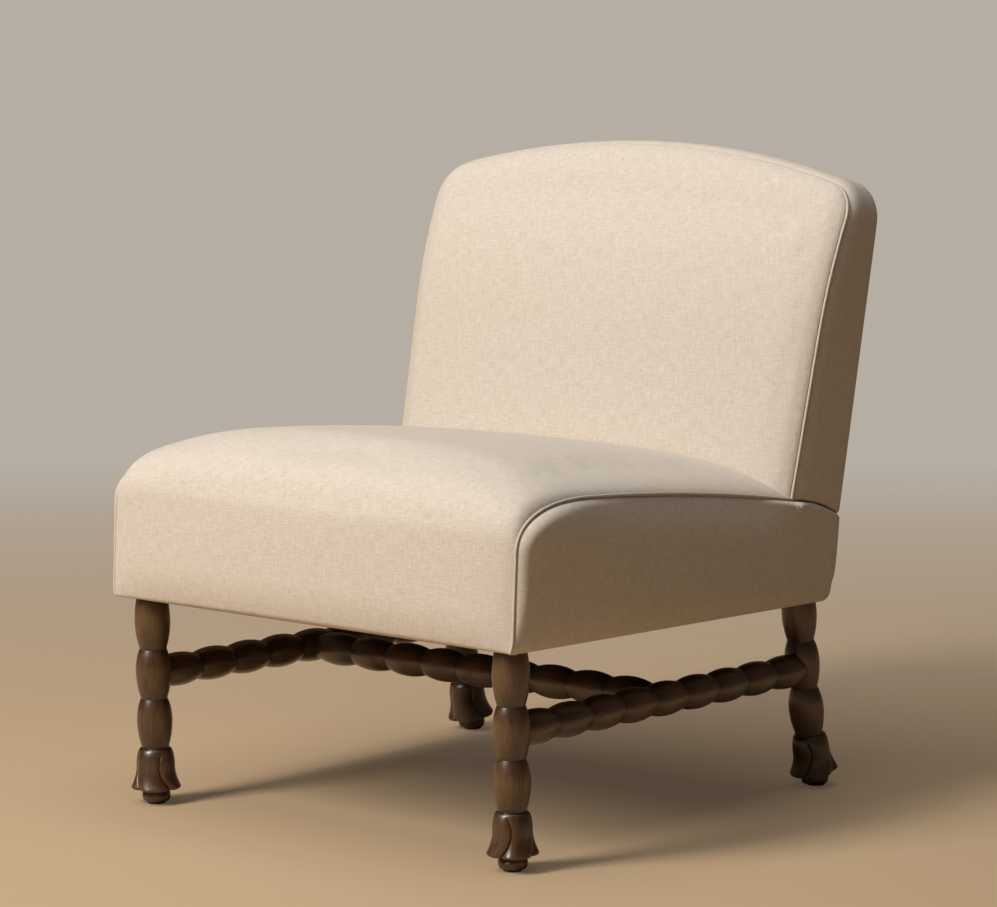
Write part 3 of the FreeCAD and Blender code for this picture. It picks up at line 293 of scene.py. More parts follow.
class Layout:
    """Where the seat and back frames stand, and the outlines that the soft pieces share."""

    def __init__(self, chair):
        self.seat, self.back, self.base = chair.seat, chair.back, chair.base
        seat, back = self.seat, self.back
        self.half = seat.width / 2
        self.lean = back.rake - seat.pitch
        reach = math.cos(seat.pitch) * seat.depth + math.sin(back.rake) * back.height
        self.front_y = (seat.front_bulge - reach) / 2
        self.seat_origin = (0, self.front_y, seat.underside)
        self.back_origin = self.seat_to_chair((0, seat.depth, 0))
        self.shape_outline()

    def seat_to_chair(self, points):
        return into_frame(points, self.seat_origin, self.seat.pitch)

    def back_to_chair(self, points):
        return into_frame(points, self.back_origin, self.back.rake)

    def seat_to_back(self, points):
        return out_of_frame(self.seat_to_chair(points), self.back_origin, self.back.rake)

    def back_to_seat(self, points):
        return out_of_frame(self.back_to_chair(points), self.seat_origin, self.seat.pitch)

    def underside(self, y):
        """Height of the seat's underside above the floor, at a depth in the chair."""
        return self.seat.underside - (y - self.front_y) * math.tan(self.seat.pitch)

    def shape_outline(self):
        """Centre of the shoulder arc, which touches the flared side line and the crest arc."""
        back = self.back
        self.slope = back.flare / (back.shoulder - back.low)
        self.stretch = math.hypot(1, self.slope)
        self.arch_z = back.height + back.crest_pad - back.crest_radius
        a = back.width / 2 + self.slope * (self.arch_z - back.shoulder) - back.corner * self.stretch
        reach = back.crest_radius - back.corner
        root = math.sqrt((a * self.slope) ** 2 - self.stretch**2 * (a * a - reach * reach))
        rise = (root - a * self.slope) / self.stretch**2
        self.corner_at = (a + self.slope * rise, self.arch_z + rise)
        self.side_turn = math.atan2(-self.slope, 1)
        self.crest_turn = math.atan2(rise, self.corner_at[0])

    def back_edge(self, station, inset, low_z):
        """Right half of the back's outline, set in, and its outward normal.

        Stations 0 to 1 climb the side line from low_z, 1 to 2 go round the shoulder and 2 to 3 run along the
        crest to the middle.
        """
        back = self.back
        climb = clamp(station)
        round_turn = self.side_turn + clamp(station - 1) * (self.crest_turn - self.side_turn)
        crest_turn = self.crest_turn + clamp(station - 2) * (math.pi / 2 - self.crest_turn)
        turn = np.where(station < 2, round_turn, crest_turn)
        nx, nz = np.cos(turn), np.sin(turn)
        radius = np.where(station < 2, back.corner - inset, back.crest_radius - inset)
        x = np.where(station < 2, self.corner_at[0], 0) + radius * nx
        z = np.where(station < 2, self.corner_at[1], self.arch_z) + radius * nz
        side_z = self.corner_at[1] + (back.corner - inset) * math.sin(self.side_turn)
        drop = (1 - climb) * (side_z - low_z)
        return x - self.slope * drop, z - drop, nx + 0 * drop, nz + 0 * drop

    def back_seam(self, x, z):
        """Depth of the back's front seam: thickness that tapers, rolls back above the middle, and a crown."""
        back = self.back
        taper = (back.thickness_low - back.thickness_mid) / (back.mid - back.low)
        above = np.maximum(z - back.mid, 0)
        crown = (back.crown - back.lip) * fullness(x / self.half)
        return -(back.thickness_mid - taper * (z - back.mid) - above**2 / (2 * back.roll_radius) + crown)

    def back_front(self, x, z, to_edge):
        """Depth of the back's front face: the seam's depth, a rim, and a lip that climbs from the edge."""
        back = self.back
        lip = (back.lip - back.rim_back) * swell_from_edge(to_edge, back.lip_width)
        return self.back_seam(x, z) - back.rim_back - lip

    def back_half(self, z):
        """Half width of the back at a height below the shoulders."""
        return self.back.width / 2 + self.slope * (z - self.back.shoulder)

    def joint(self):
        """Where the seat's side seam meets the back, in the seat frame."""
        back, z = self.back, self.seat.rise_rear
        low = self.back_to_seat((0, -back.thickness_low, back.low))
        high = self.back_to_seat((0, -back.thickness_mid, back.mid))
        share = (z - low[2]) / (high[2] - low[2])
        return low[1] + share * (high[1] - low[1]), z

    def roll(self, station):
        """Depth and height shares of the front roll, a superellipse walked by its angle."""
        turn = clamp(station) * math.pi / 2
        return 1 - np.cos(turn) ** (2 / ROLL_POWER), np.sin(turn) ** (2 / ROLL_POWER)

    def side_edge(self, station, inset):
        """The side seam set in towards the panel, square to itself."""
        step = 0.01
        y, z = self.side_seam(station)
        before, after = self.side_seam(station - step), self.side_seam(station + step)
        run, climb = after[0] - before[0], after[1] - before[1]
        size = np.hypot(run, climb) / inset
        return y + climb / size, z - run / size

    def side_seam(self, station):
        """The seat's side seam: stations 0 to 1 over the roll, 1 to 2 along the top, 2 to 3 down the rear."""
        seat = self.seat
        run, turn = self.roll(station)
        top = clamp(station - 1)
        fall = clamp(station - 2)
        joint_y, _ = self.joint()
        start_y = seat.front_lean + seat.roll_depth
        rear_y = seat.depth + math.tan(self.lean) * seat.rear_seam
        y = seat.front_lean + seat.roll_depth * run + top * (joint_y - start_y) + fall * (rear_y - joint_y)
        z = seat.roll_start + (seat.rise_front - seat.roll_start) * turn
        z = z + top * (seat.rise_rear - seat.rise_front) + seat.top_arch * 4 * top * (1 - top)
        z = z + fall * (seat.rear_seam - seat.rise_rear) + seat.rear_seam_bow * 4 * fall * (1 - fall)
        return y, z


# Meshes


def arc_lengths(points):
    """UV in metres: length along the columns from the middle one, and along the rows from the first."""
    across = np.linalg.norm(np.diff(points, axis=1), axis=-1).cumsum(axis=1)
    across = np.pad(across, ((0, 0), (1, 0)))
    along = np.linalg.norm(np.diff(points, axis=0), axis=-1).cumsum(axis=0)
    along = np.pad(along, ((1, 0), (0, 0)))
    middle = across[:, across.shape[1] // 2][:, None]
    return np.stack([across - middle, along], axis=-1)


def patch(points, uv=None, **attributes):
    """One grid of points with its UV in metres and any attributes on the same grid."""
    return {"points": points, "uv": arc_lengths(points) if uv is None else uv, **attributes}


def shell(outer, inner, **attributes):
    """A closed form: an outer and an inner grid of one shape, and strips that join their four borders."""
    ends = [np.stack([outer[n], inner[n]]) for n in (0, -1)]
    sides = [np.stack([outer[:, n], inner[:, n]]) for n in (0, -1)]
    return [patch(outer, **attributes), patch(inner)] + [patch(strip) for strip in ends + sides]


def patch_faces(shape):
    """Quads of a grid, as indices into its flattened points."""
    index = np.arange(shape[0] * shape[1]).reshape(shape[:2])
    corners = (index[:-1, :-1], index[1:, :-1], index[1:, 1:], index[:-1, 1:])
    return np.stack(corners, axis=-1).reshape(-1, 4)


def make_piece(name, patches, attributes=()):
    """Join grids into one mesh, weld their shared borders and poles, and turn every face outwards."""
    points = np.concatenate([p["points"].reshape(-1, 3) for p in patches])
    starts = np.cumsum([0] + [p["points"].shape[0] * p["points"].shape[1] for p in patches])
    faces = np.concatenate([patch_faces(p["points"].shape) + s for p, s in zip(patches, starts)])
    uv = np.concatenate([p["uv"].reshape(-1, 2) for p in patches])
    mesh = bpy.data.meshes.new(name)
    mesh.from_pydata(points.tolist(), [], faces.tolist())
    mesh.uv_layers.new(name=UV_NAME).uv.foreach_set("vector", uv[faces.ravel()].ravel())
    for attribute, width in attributes:
        blank = [np.zeros(p["points"].shape[:2] + (width,)) for p in patches]
        values = [p.get(attribute, b) for p, b in zip(patches, blank)]
        layer = mesh.attributes.new(attribute, "FLOAT_VECTOR" if width == 3 else "FLOAT", "POINT")
        flat = np.concatenate([v.reshape(-1, width) for v in values])
        layer.data.foreach_set("vector" if width == 3 else "value", flat.ravel())
    work = bmesh.new()
    work.from_mesh(mesh)
    bmesh.ops.remove_doubles(work, verts=work.verts, dist=WELD_DISTANCE)
    bmesh.ops.dissolve_degenerate(work, edges=work.edges, dist=SLIVER)
    bmesh.ops.recalc_face_normals(work, faces=work.faces)
    work.to_mesh(mesh)
    work.free()
    mesh.polygons.foreach_set("use_smooth", np.ones(len(mesh.polygons), bool))
    piece = bpy.data.objects.new(name, mesh)
    bpy.context.scene.collection.objects.link(piece)
    return piece


def read_vectors(data, field, count):
    """A field of vectors of mesh data, as rows of an array."""
    values = np.empty(count * 3, np.float32)
    data.foreach_get(field, values)
    return values.reshape(-1, 3).astype(float)


def settle(piece):
    """Let a slack cover fill out: pressure, no gravity, and each point held within its own reach.

    The mesh starts slack, and its attribute swell says how far and which way each point may go. Points with
    no reach are sewn down.
    """
    mesh = piece.data
    count = len(mesh.vertices)
    start = read_vectors(mesh.vertices, "co", count)
    swell = read_vectors(mesh.attributes["swell"].data, "vector", count)
    reach = np.linalg.norm(swell, axis=1)
    final = start + swell
    held = piece.vertex_groups.new(name="held")
    held.add(np.flatnonzero(reach < SEWN_REACH).tolist(), 1.0, "REPLACE")
    cloth = piece.modifiers.new("settle", "CLOTH")
    cloth.settings.vertex_group_mass = held.name
    cloth.settings.mass = SETTLE_MASS
    cloth.settings.use_pressure = True
    cloth.settings.uniform_pressure_force = SETTLE_PRESSURE
    cloth.settings.effector_weights.gravity = 0
    cloth.point_cache.frame_end = SETTLE_FRAMES
    for step in range(1, SETTLE_FRAMES + 1):
        bpy.context.scene.frame_set(step)
    filled = piece.evaluated_get(bpy.context.evaluated_depsgraph_get()).data
    moved = read_vectors(filled.vertices, "co", count) - start
    travel = np.maximum(np.linalg.norm(moved, axis=1), LEAST_TRAVEL)
    final = start + moved * np.minimum(1, reach / travel)[:, None]
    piece.modifiers.remove(cloth)
    piece.vertex_groups.remove(held)
    bpy.context.scene.frame_set(1)
    mesh.vertices.foreach_set("co", final.ravel())
    mesh.attributes.remove(mesh.attributes["swell"])
    mesh.update()


def subdivide(piece):
    """One level of subdivision, the same in the viewport and in the render."""
    modifier = piece.modifiers.new("smooth", "SUBSURF")
    modifier.levels = modifier.render_levels = 1


def outward(points):
    """Unit normals of a grid, from the cross product of its two directions."""
    along = np.gradient(points, axis=0)
    across = np.gradient(points, axis=1)
    normal = np.cross(across, along)
    return normal / np.maximum(np.linalg.norm(normal, axis=-1, keepdims=True), LEAST_NORMAL)


def tube(path, radius):
    """A round tube along close path points: rings square to the path, with a point at each end."""
    ahead = np.gradient(path, axis=0)
    ahead /= np.linalg.norm(ahead, axis=1, keepdims=True)
    side = np.cross(ahead, TUBE_SKEW)
    side /= np.linalg.norm(side, axis=1, keepdims=True)
    up = np.cross(side, ahead)
    turn = np.linspace(0, 2 * math.pi, TUBE_AROUND + 1)[None, :, None]
    radii = np.broadcast_to(np.asarray(radius, float), (len(path),))[:, None, None]
    rings = path[:, None] + radii * (np.cos(turn) * side[:, None] + np.sin(turn) * up[:, None])
    start, end = (np.broadcast_to(path[n], rings[:1].shape) for n in (0, -1))
    return patch(np.concatenate([start, rings, end]))


# Node materials


class Bench:
    """A material's node tree, with short ways to add the nodes that the finishes use."""

    def __init__(self, name):
        self.material = bpy.data.materials.new(f"{name}_finish")
        self.material.use_nodes = True
        self.nodes = self.material.node_tree.nodes
        self.links = self.material.node_tree.links
        self.shader = self.nodes["Principled BSDF"]

    def add(self, kind, inputs=(), **settings):
        node = self.nodes.new(kind)
        for key, value in settings.items():
            setattr(node, key, value)
        for key, value in dict(inputs).items():
            self.feed(node.inputs[key], value)
        return node

    def feed(self, socket, value):
        if isinstance(value, bpy.types.NodeSocket):
            self.links.new(value, socket)
        else:
            socket.default_value = value

    def object_coords(self):
        return self.add("ShaderNodeTexCoord").outputs["Object"]

    def surface_coords(self):
        return self.add("ShaderNodeUVMap", uv_map=UV_NAME).outputs["UV"]

    def attribute(self, name):
        return self.add("ShaderNodeAttribute", attribute_name=name)

    def mapped(self, vector, scale):
        return self.add("ShaderNodeMapping", {"Vector": vector, "Scale": scale}).outputs["Vector"]

    def noise(self, vector, scale, detail=3.0, roughness=0.55, distortion=0.0):
        inputs = {"Vector": vector, "Scale": scale, "Detail": detail, "Roughness": roughness}
        inputs["Distortion"] = distortion
        return self.add("ShaderNodeTexNoise", inputs).outputs["Fac"]

    def streaks(self, vector, scales, detail, roughness=0.55, distortion=0.0):
        """Noise with a scale of its own along each axis."""
        return self.noise(self.mapped(vector, scales), 1.0, detail, roughness, distortion)

    def calc(self, operation, a, b=0.0):
        return self.add("ShaderNodeMath", {0: a, 1: b}, operation=operation).outputs[0]

    def times(self, a, b):
        return self.calc("MULTIPLY", a, b)

    def plus(self, a, b):
        return self.calc("ADD", a, b)

    def minus(self, a, b):
        return self.calc("SUBTRACT", a, b)

    def either(self, choice, off, on):
        """One of two values, by a choice of 0 or 1."""
        inputs = {"Factor": choice, "A": off, "B": on}
        return self.add("ShaderNodeMix", inputs, data_type="FLOAT").outputs[0]

    def spread(self, value, low, high, to_low=0.0, to_high=1.0):
        inputs = {"Value": value, "From Min": low, "From Max": high, "To Min": to_low, "To Max": to_high}
        return self.add("ShaderNodeMapRange", inputs, clamp=True).outputs["Result"]

    def mix(self, factor, a, b, blend="MIX"):
        """Two colours mixed by a factor; inputs 6 and 7 and output 2 are the node's colours."""
        node = self.add("ShaderNodeMix", data_type="RGBA", blend_type=blend)
        for socket, value in zip((node.inputs[0], node.inputs[6], node.inputs[7]), (factor, a, b)):
            self.feed(socket, value)
        return node.outputs[2]

    def bump(self, height, strength, distance):
        inputs = {"Height": height, "Strength": strength, "Distance": distance}
        return self.add("ShaderNodeBump", inputs).outputs["Normal"]

    def finish(self, **inputs):
        """Set the shader's sockets: plain values on the socket itself, sockets linked."""
        for key, value in inputs.items():
            self.feed(self.shader.inputs[key.replace("_", " ")], value)
        return self.material


def rgba(values):
    """A colour with full alpha."""
    return (*values, 1.0)


def shaded(values, factor):
    """A colour made darker or lighter by a factor, with full alpha."""
    return rgba(v * factor for v in values)


# Spacing of the cover cloth's yarns
CLOTH_YARN = 0.0013


def cover_cloth(finish):
    """Oatmeal plain weave: two yarn systems that pass over and under, with painted shade where they dip,
    slubs, flecks and a soft nap.
    """
    b = Bench("cover_cloth")
    uv = b.surface_coords()
    wobble = b.noise(uv, 60.0, 2.0)
    drift = b.times(b.minus(wobble, 0.5), CLOTH_YARN * 0.9)
    parts = b.add("ShaderNodeSeparateXYZ", {0: uv})
    u = b.calc("DIVIDE", b.plus(parts.outputs["X"], drift), CLOTH_YARN)
    v = b.calc("DIVIDE", b.plus(parts.outputs["Y"], drift), CLOTH_YARN)
    warp = b.calc("SINE", b.times(u, math.pi))
    weft = b.calc("SINE", b.times(v, math.pi))
    warp_round, weft_round = b.calc("ABSOLUTE", warp), b.calc("ABSOLUTE", weft)
    over = b.calc("GREATER_THAN", b.times(warp, weft), 0.0)
    warp_lump = b.times(b.calc("POWER", warp_round, 0.8), b.calc("POWER", weft_round, 0.35))
    weft_lump = b.times(b.calc("POWER", weft_round, 0.8), b.calc("POWER", warp_round, 0.35))
    lump = b.either(over, weft_lump, warp_lump)
    warp_slub = b.streaks(uv, (560, 62, 1), 3.0, 0.55)
    weft_slub = b.streaks(uv, (62, 560, 1), 3.0, 0.55)
    slub = b.either(over, weft_slub, warp_slub)
    fleck = b.noise(uv, 900.0, 2.0, 0.7)
    cloud = b.noise(uv, 9.0, 3.0, 0.6)
    yarn = b.spread(b.plus(b.times(slub, 0.75), b.times(fleck, 0.25)), 0.36, 0.62)
    tone = b.mix(yarn, rgba(finish.cloth_dark), rgba(finish.cloth_light))
    # Painted shade where the yarns dip between their crossings
    gap_shade = b.spread(lump, 0.0, 0.55, 0.76, 1.0)
    gap_shade_grey = b.add("ShaderNodeCombineColor", {0: gap_shade, 1: gap_shade, 2: gap_shade}).outputs[0]
    tone = b.mix(1.0, tone, gap_shade_grey, "MULTIPLY")
    tone = b.mix(b.spread(cloud, 0.35, 0.7, 0.0, 0.06), tone, shaded(finish.cloth_dark, 1.1))
    fuzz = b.noise(uv, 2600.0, 2.0, 0.7)
    height = b.plus(b.times(lump, 0.8), b.times(b.plus(slub, fuzz), 0.3))
    normal = b.bump(height, 0.45, 0.00045)
    rough = b.spread(yarn, 0.0, 1.0, 0.93, 0.82)
    return b.finish(
        Base_Color=tone, Roughness=rough, Normal=normal, Sheen_Weight=0.18, Sheen_Roughness=0.5,
        Sheen_Tint=(1.0, 0.93, 0.83, 1.0), Specular_IOR_Level=0.25,
    )


def turned_wood(finish):
    """Dark stained wood: long grain along each turning, pores, painted shade in the necks, the carved lines
    and over the foot, rubbed crests with a painted highlight on the foot's rim, and a satin coat.
    """
    b = Bench("turned_wood")
    grain = b.attribute("grain").outputs["Vector"]
    crest = b.attribute("crest").outputs["Fac"]
    figure = b.streaks(grain, (70, 70, 7), 5.0, 0.62, 0.6)
    fibre = b.streaks(grain, (620, 620, 26), 4.0, 0.65)
    pore = b.spread(b.streaks(grain, (1500, 1500, 60), 2.0, 0.6), 0.60, 0.72)
    smoke = b.noise(grain, 16.0, 3.0, 0.6)
    line = b.plus(b.times(figure, 0.6), b.times(fibre, 0.4))
    tone = b.mix(b.spread(line, 0.36, 0.62), rgba(finish.wood_dark), rgba(finish.wood_mid))
    # Lighter worn colour: rubbed bead crests, and on the foot's rim a painted highlight
    wear_and_rim_highlight = b.times(b.spread(crest, 0.55, 1.0), b.spread(b.plus(smoke, fibre), 0.75, 1.25))
    tone = b.mix(b.times(wear_and_rim_highlight, 0.5), tone, rgba(finish.wood_worn_and_rim_highlight))
    # Painted shade: darker where the crest attribute is low, at the necks, in the carved lines and over the
    # foot
    tone = b.mix(b.spread(crest, 0.0, 0.32, 0.75, 0.0), tone, shaded(finish.wood_dark, 0.45))
    tone = b.mix(b.times(pore, 0.5), tone, shaded(finish.wood_dark, 0.6))
    height = b.minus(b.times(fibre, 0.5), b.times(pore, 0.6))
    normal = b.bump(height, 0.22, 0.0004)
    rough = b.plus(b.spread(smoke, 0.3, 0.7, 0.34, 0.42), b.times(pore, 0.12))
    return b.finish(
        Base_Color=tone, Roughness=rough, Normal=normal, Coat_Weight=0.60, Coat_Roughness=0.27,
        Specular_IOR_Level=0.65,
    )


def frame_timber(finish):
    """Plain sawn frame timber: straight grain along the longest runs, saw marks and a few darker streaks."""
    b = Bench("frame_timber")
    coords = b.object_coords()
    grain = b.streaks(coords, (14, 14, 160), 5.0, 0.6, 0.5)
    fibre = b.streaks(coords, (90, 90, 900), 3.0, 0.6)
    saw = b.streaks(coords, (420, 30, 30), 2.0, 0.5)
    tone = b.mix(b.spread(grain, 0.35, 0.66), shaded(finish.timber, 0.62), rgba(finish.timber))
    tone = b.mix(b.spread(fibre, 0.4, 0.7, 0.0, 0.35), tone, shaded(finish.timber, 0.5))
    height = b.plus(b.times(fibre, 0.6), b.times(saw, 0.4))
    rough = b.spread(grain, 0.3, 0.7, 0.62, 0.8)
    return b.finish(Base_Color=tone, Roughness=rough, Normal=b.bump(height, 0.3, 0.0006))


def bright_steel(finish):
    """Drawn and zinc-plated steel: fine draw marks, dull patches and a metal sheen."""
    b = Bench("bright_steel")
    coords = b.object_coords()
    patchy = b.noise(coords, 240.0, 4.0, 0.65)
    drawn = b.streaks(coords, (300, 2400, 2400), 2.0, 0.6)
    tone = b.mix(b.spread(patchy, 0.35, 0.7), rgba(finish.steel), shaded(finish.steel, 0.62))
    rough = b.spread(b.plus(patchy, drawn), 0.7, 1.3, 0.26, 0.5)
    return b.finish(Base_Color=tone, Roughness=rough, Normal=b.bump(drawn, 0.15, 0.0002), Metallic=1.0)


def moulded_glide(finish):
    """Dark moulded glide with scuffs from the floor."""
    b = Bench("moulded_glide")
    coords = b.object_coords()
    scuff = b.streaks(coords, (500, 1400, 900), 4.0, 0.7)
    tone = b.mix(b.spread(scuff, 0.52, 0.75, 0.0, 0.5), rgba(finish.glide), shaded(finish.glide, 2.4))
    rough = b.spread(scuff, 0.3, 0.75, 0.42, 0.7)
    return b.finish(Base_Color=tone, Roughness=rough, Normal=b.bump(scuff, 0.2, 0.0003))


def jute_cloth(finish):
    """Coarse webbing and deck cloth: a square weave on the object's own axes, with painted shade in the gaps
    between its threads, and loose fibres.
    """
    b = Bench("jute_cloth")
    coords = b.object_coords()
    parts = b.add("ShaderNodeSeparateXYZ", {0: b.mapped(coords, (900, 900, 900))})
    waves = [b.calc("ABSOLUTE", b.calc("SINE", parts.outputs[axis])) for axis in ("X", "Y", "Z")]
    weave = b.times(waves[0], b.calc("MAXIMUM", waves[1], waves[2]))
    fibre = b.noise(coords, 700.0, 3.0, 0.65)
    tone = b.mix(b.spread(fibre, 0.35, 0.65), shaded(finish.inner_cloth, 0.6), rgba(finish.inner_cloth))
    # Painted shade in the gaps between the threads
    tone = b.mix(b.spread(weave, 0.0, 0.4, 0.5, 0.0), tone, shaded(finish.inner_cloth, 0.35))
    height = b.plus(weave, b.times(fibre, 0.4))
    rough = b.spread(fibre, 0.3, 0.7, 0.8, 0.95)
    return b.finish(Base_Color=tone, Roughness=rough, Normal=b.bump(height, 0.5, 0.0006))


def spun_cloth(finish):
    """Black spun dust cloth: matted fibres and a faint dimple grid from its bonding."""
    b = Bench("spun_cloth")
    uv = b.surface_coords()
    mat = b.streaks(uv, (900, 420, 1), 4.0, 0.7, 1.5)
    parts = b.add("ShaderNodeSeparateXYZ", {0: b.mapped(uv, (2600, 2600, 1))})
    dimple = b.times(b.calc("SINE", parts.outputs["X"]), b.calc("SINE", parts.outputs["Y"]))
    tone = b.mix(b.spread(mat, 0.35, 0.7), rgba(finish.dust_cloth), shaded(finish.dust_cloth, 2.2))
    height = b.plus(mat, b.times(dimple, 0.25))
    rough = b.spread(mat, 0.3, 0.7, 0.72, 0.92)
    return b.finish(Base_Color=tone, Roughness=rough, Normal=b.bump(height, 0.4, 0.0004))


FINISHES = (cover_cloth, turned_wood, frame_timber, bright_steel, moulded_glide, jute_cloth, spun_cloth)


def finish_named(context, name):
    """The material of that name, made the first time it is asked for."""
    made = bpy.data.materials.get(f"{name}_finish")
    makers = {maker.__name__: maker for maker in FINISHES}
    return made or makers[name](context.scene.bobbin_chair.finish)


# Finished pieces


def place(piece, nodes, material):
    """Ride on the chair, stand for CAD nodes, and take a slot and a material."""
    piece.data.materials.append(material)
    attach(piece, "root")
    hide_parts(*nodes)


def upholster(context, name, faces, nodes, swell=None):
    """A padded piece in cover cloth between an outer and an inner face; with a swell, it settles first."""
    outer, inner = faces
    if swell is None:
        piece = make_piece(name, shell(outer, inner))
    else:
        piece = make_piece(name, shell(outer - swell, inner, swell=swell), (("swell", 3),))
        settle(piece)
    subdivide(piece)
    place(piece, nodes, finish_named(context, "cover_cloth"))


def turned_piece(context, node, turning):
    """A turned piece of wood that stands for one CAD node."""
    piece = make_piece(f"turned_{node}", [turning], (("grain", 3), ("crest", 1)))
    place(piece, [node], finish_named(context, "turned_wood"))


# Turned base

# Points round a turning and along one of its beads, and where each turning's grain starts
LEG_AROUND = 289
LEG_BEAD_ROWS = 22
STRETCHER_AROUND = 73
STRETCHER_BEAD_ROWS = 17
LEG_GRAIN_STEP = 0.37
STRETCHER_GRAIN = {"left_side_stretcher": 1.3, "right_side_stretcher": 2.5, "cross_stretcher": 3.1}

# Run over which a leg bends at a neck, and how a stretcher's end is hollowed round its host
NECK_EASE = 0.006
HOST_OVERLAP = 0.0005
HOLLOW_LIMIT = 0.98

# Foot profile, measured up from the floor: pad, rim of the petals, bell and shoulder
PAD_CONTACT = 0.012
PAD_RADIUS = 0.0175
PAD_HEIGHT = 0.010
PAD_NECK = 0.015
PAD_ROUND = 0.012
PAD_GAP = 0.001
RIM_UNDER = 0.0185
RIM_TIP = 0.0215
RIM_RADIUS = 0.0304
RIM_ROUND = 0.0022
RIM_STEP = 0.002
RIM_EASE = 0.0002
BELL_RADIUS = 0.0242
BELL_HEIGHT = 0.045
BELL_FLARE = 1.75
SHOULDER_POWER = 2.15
PAD_ROWS = (7, 6)
LIP_ROWS = (5, 6)
FLARE_ROWS = 36
SHOULDER_ROWS = 24

# Petals: their number, the gap over their tops, and the scallops of the rim between them
PETALS = 4
PETAL_TOP = 0.003
SCALLOP_POWER = 6
SCALLOP_FADE = 0.14
SCALLOP_RISE = 0.008

# Carved line between two petals: its angle at the rim, at its farthest swing and at the top, and its cut
LINE_RIM = math.radians(9)
LINE_SWING = math.radians(36)
LINE_TOP = math.radians(21)
SWING_HEIGHT = 0.048
GROOVE_SHARE = 0.7
GROOVE_FADE = 0.25
GROOVE_END = 0.12
GROOVE_WIDTH = 0.0010
ROLLED_DEPTH = 0.0011
ROLLED_WIDTH = 0.0050

# Crest of a foot: an even ground on the bell, more on the rim as a painted highlight, and none in the carved
# lines and at the shoulder, which paints shade there
FOOT_CREST_GROUND = 0.45
RIM_HIGHLIGHT = 0.4
RIM_HIGHLIGHT_RUN = 0.006
SHOULDER_SHADE_RUN = 0.0035


def bead_radius(height, start, span, widest, neck, bead, end):
    """Radius of one bead: two circular arcs, upright at its widest place, that fall in to its necks."""
    below = height < start + widest
    drop = np.where(below, bead - neck, bead - end) / 2
    run = np.where(below, widest, span - widest)
    arc = (drop**2 + run**2) / (2 * drop)
    away = np.minimum(np.abs(height - start - widest), run)
    return bead / 2 - arc + np.sqrt(arc**2 - away**2)


def bead_rows(start, span, count):
    """Heights over a bead, crowded towards both necks."""
    return start + span * (1 - np.cos(np.linspace(0, math.pi, count))) / 2


def arc_between(start, end, radius, count):
    """Points of the shorter arc between two profile points, bulging outwards."""
    (r0, h0), (r1, h1) = start, end
    chord = math.hypot(r1 - r0, h1 - h0)
    half_turn = math.asin(chord / 2 / radius)
    way = np.array([r1 - r0, h1 - h0]) / chord
    side = np.array([way[1], -way[0]])
    turn = np.linspace(-half_turn, half_turn, count)
    middle = (np.array(start) + np.array(end)) / 2 - side * radius * math.cos(half_turn)
    return middle + radius * (np.sin(turn)[:, None] * way + np.cos(turn)[:, None] * side)


def foot_profile(neck, foot):
    """Radius and height up the foot: round pad, underside and lip of the petals, flared bell and shoulder.

    The bell's flare widens as a power of the fall from its upright part; its shoulder is a superellipse.
    """
    fall = np.linspace(1, 0, FLARE_ROWS)
    flare = np.stack([
        BELL_RADIUS + (RIM_RADIUS - BELL_RADIUS) * fall**BELL_FLARE,
        BELL_HEIGHT - (BELL_HEIGHT - RIM_TIP) * fall,
    ], axis=-1)
    turn = np.linspace(0, math.pi / 2, SHOULDER_ROWS)[1:]
    shoulder = np.stack([
        neck / 2 + (BELL_RADIUS - neck / 2) * np.cos(turn) ** (2 / SHOULDER_POWER),
        BELL_HEIGHT + (foot - BELL_HEIGHT) * np.sin(turn) ** (2 / SHOULDER_POWER),
    ], axis=-1)
    widest = (PAD_RADIUS, PAD_HEIGHT)
    lip = (RIM_RADIUS - RIM_STEP, RIM_UNDER + RIM_EASE)
    return np.concatenate([
        [(0.0, 0.0), (PAD_CONTACT / 2, 0.0)],
        arc_between((PAD_CONTACT, 0.0), widest, PAD_ROUND, PAD_ROWS[0]),
        arc_between(widest, (PAD_NECK, RIM_UNDER - PAD_GAP), PAD_ROUND, PAD_ROWS[1])[1:],
        np.linspace((PAD_NECK + RIM_STEP, RIM_UNDER), (RIM_RADIUS - 2 * RIM_STEP, RIM_UNDER), LIP_ROWS[0]),
        arc_between(lip, (RIM_RADIUS, RIM_TIP), RIM_ROUND, LIP_ROWS[1])[:-1],
        flare,
        shoulder,
    ])


def petal_line(height, top):
    """Angle of the carved line between two petals: two parabolas, out to the swing and back to the top."""
    below = (SWING_HEIGHT - height) / (SWING_HEIGHT - RIM_TIP)
    above = (height - SWING_HEIGHT) / (top - SWING_HEIGHT)
    lower = LINE_SWING - (LINE_SWING - LINE_RIM) * clamp(below) ** 2
    return lower - (LINE_SWING - LINE_TOP) * clamp(above) ** 2


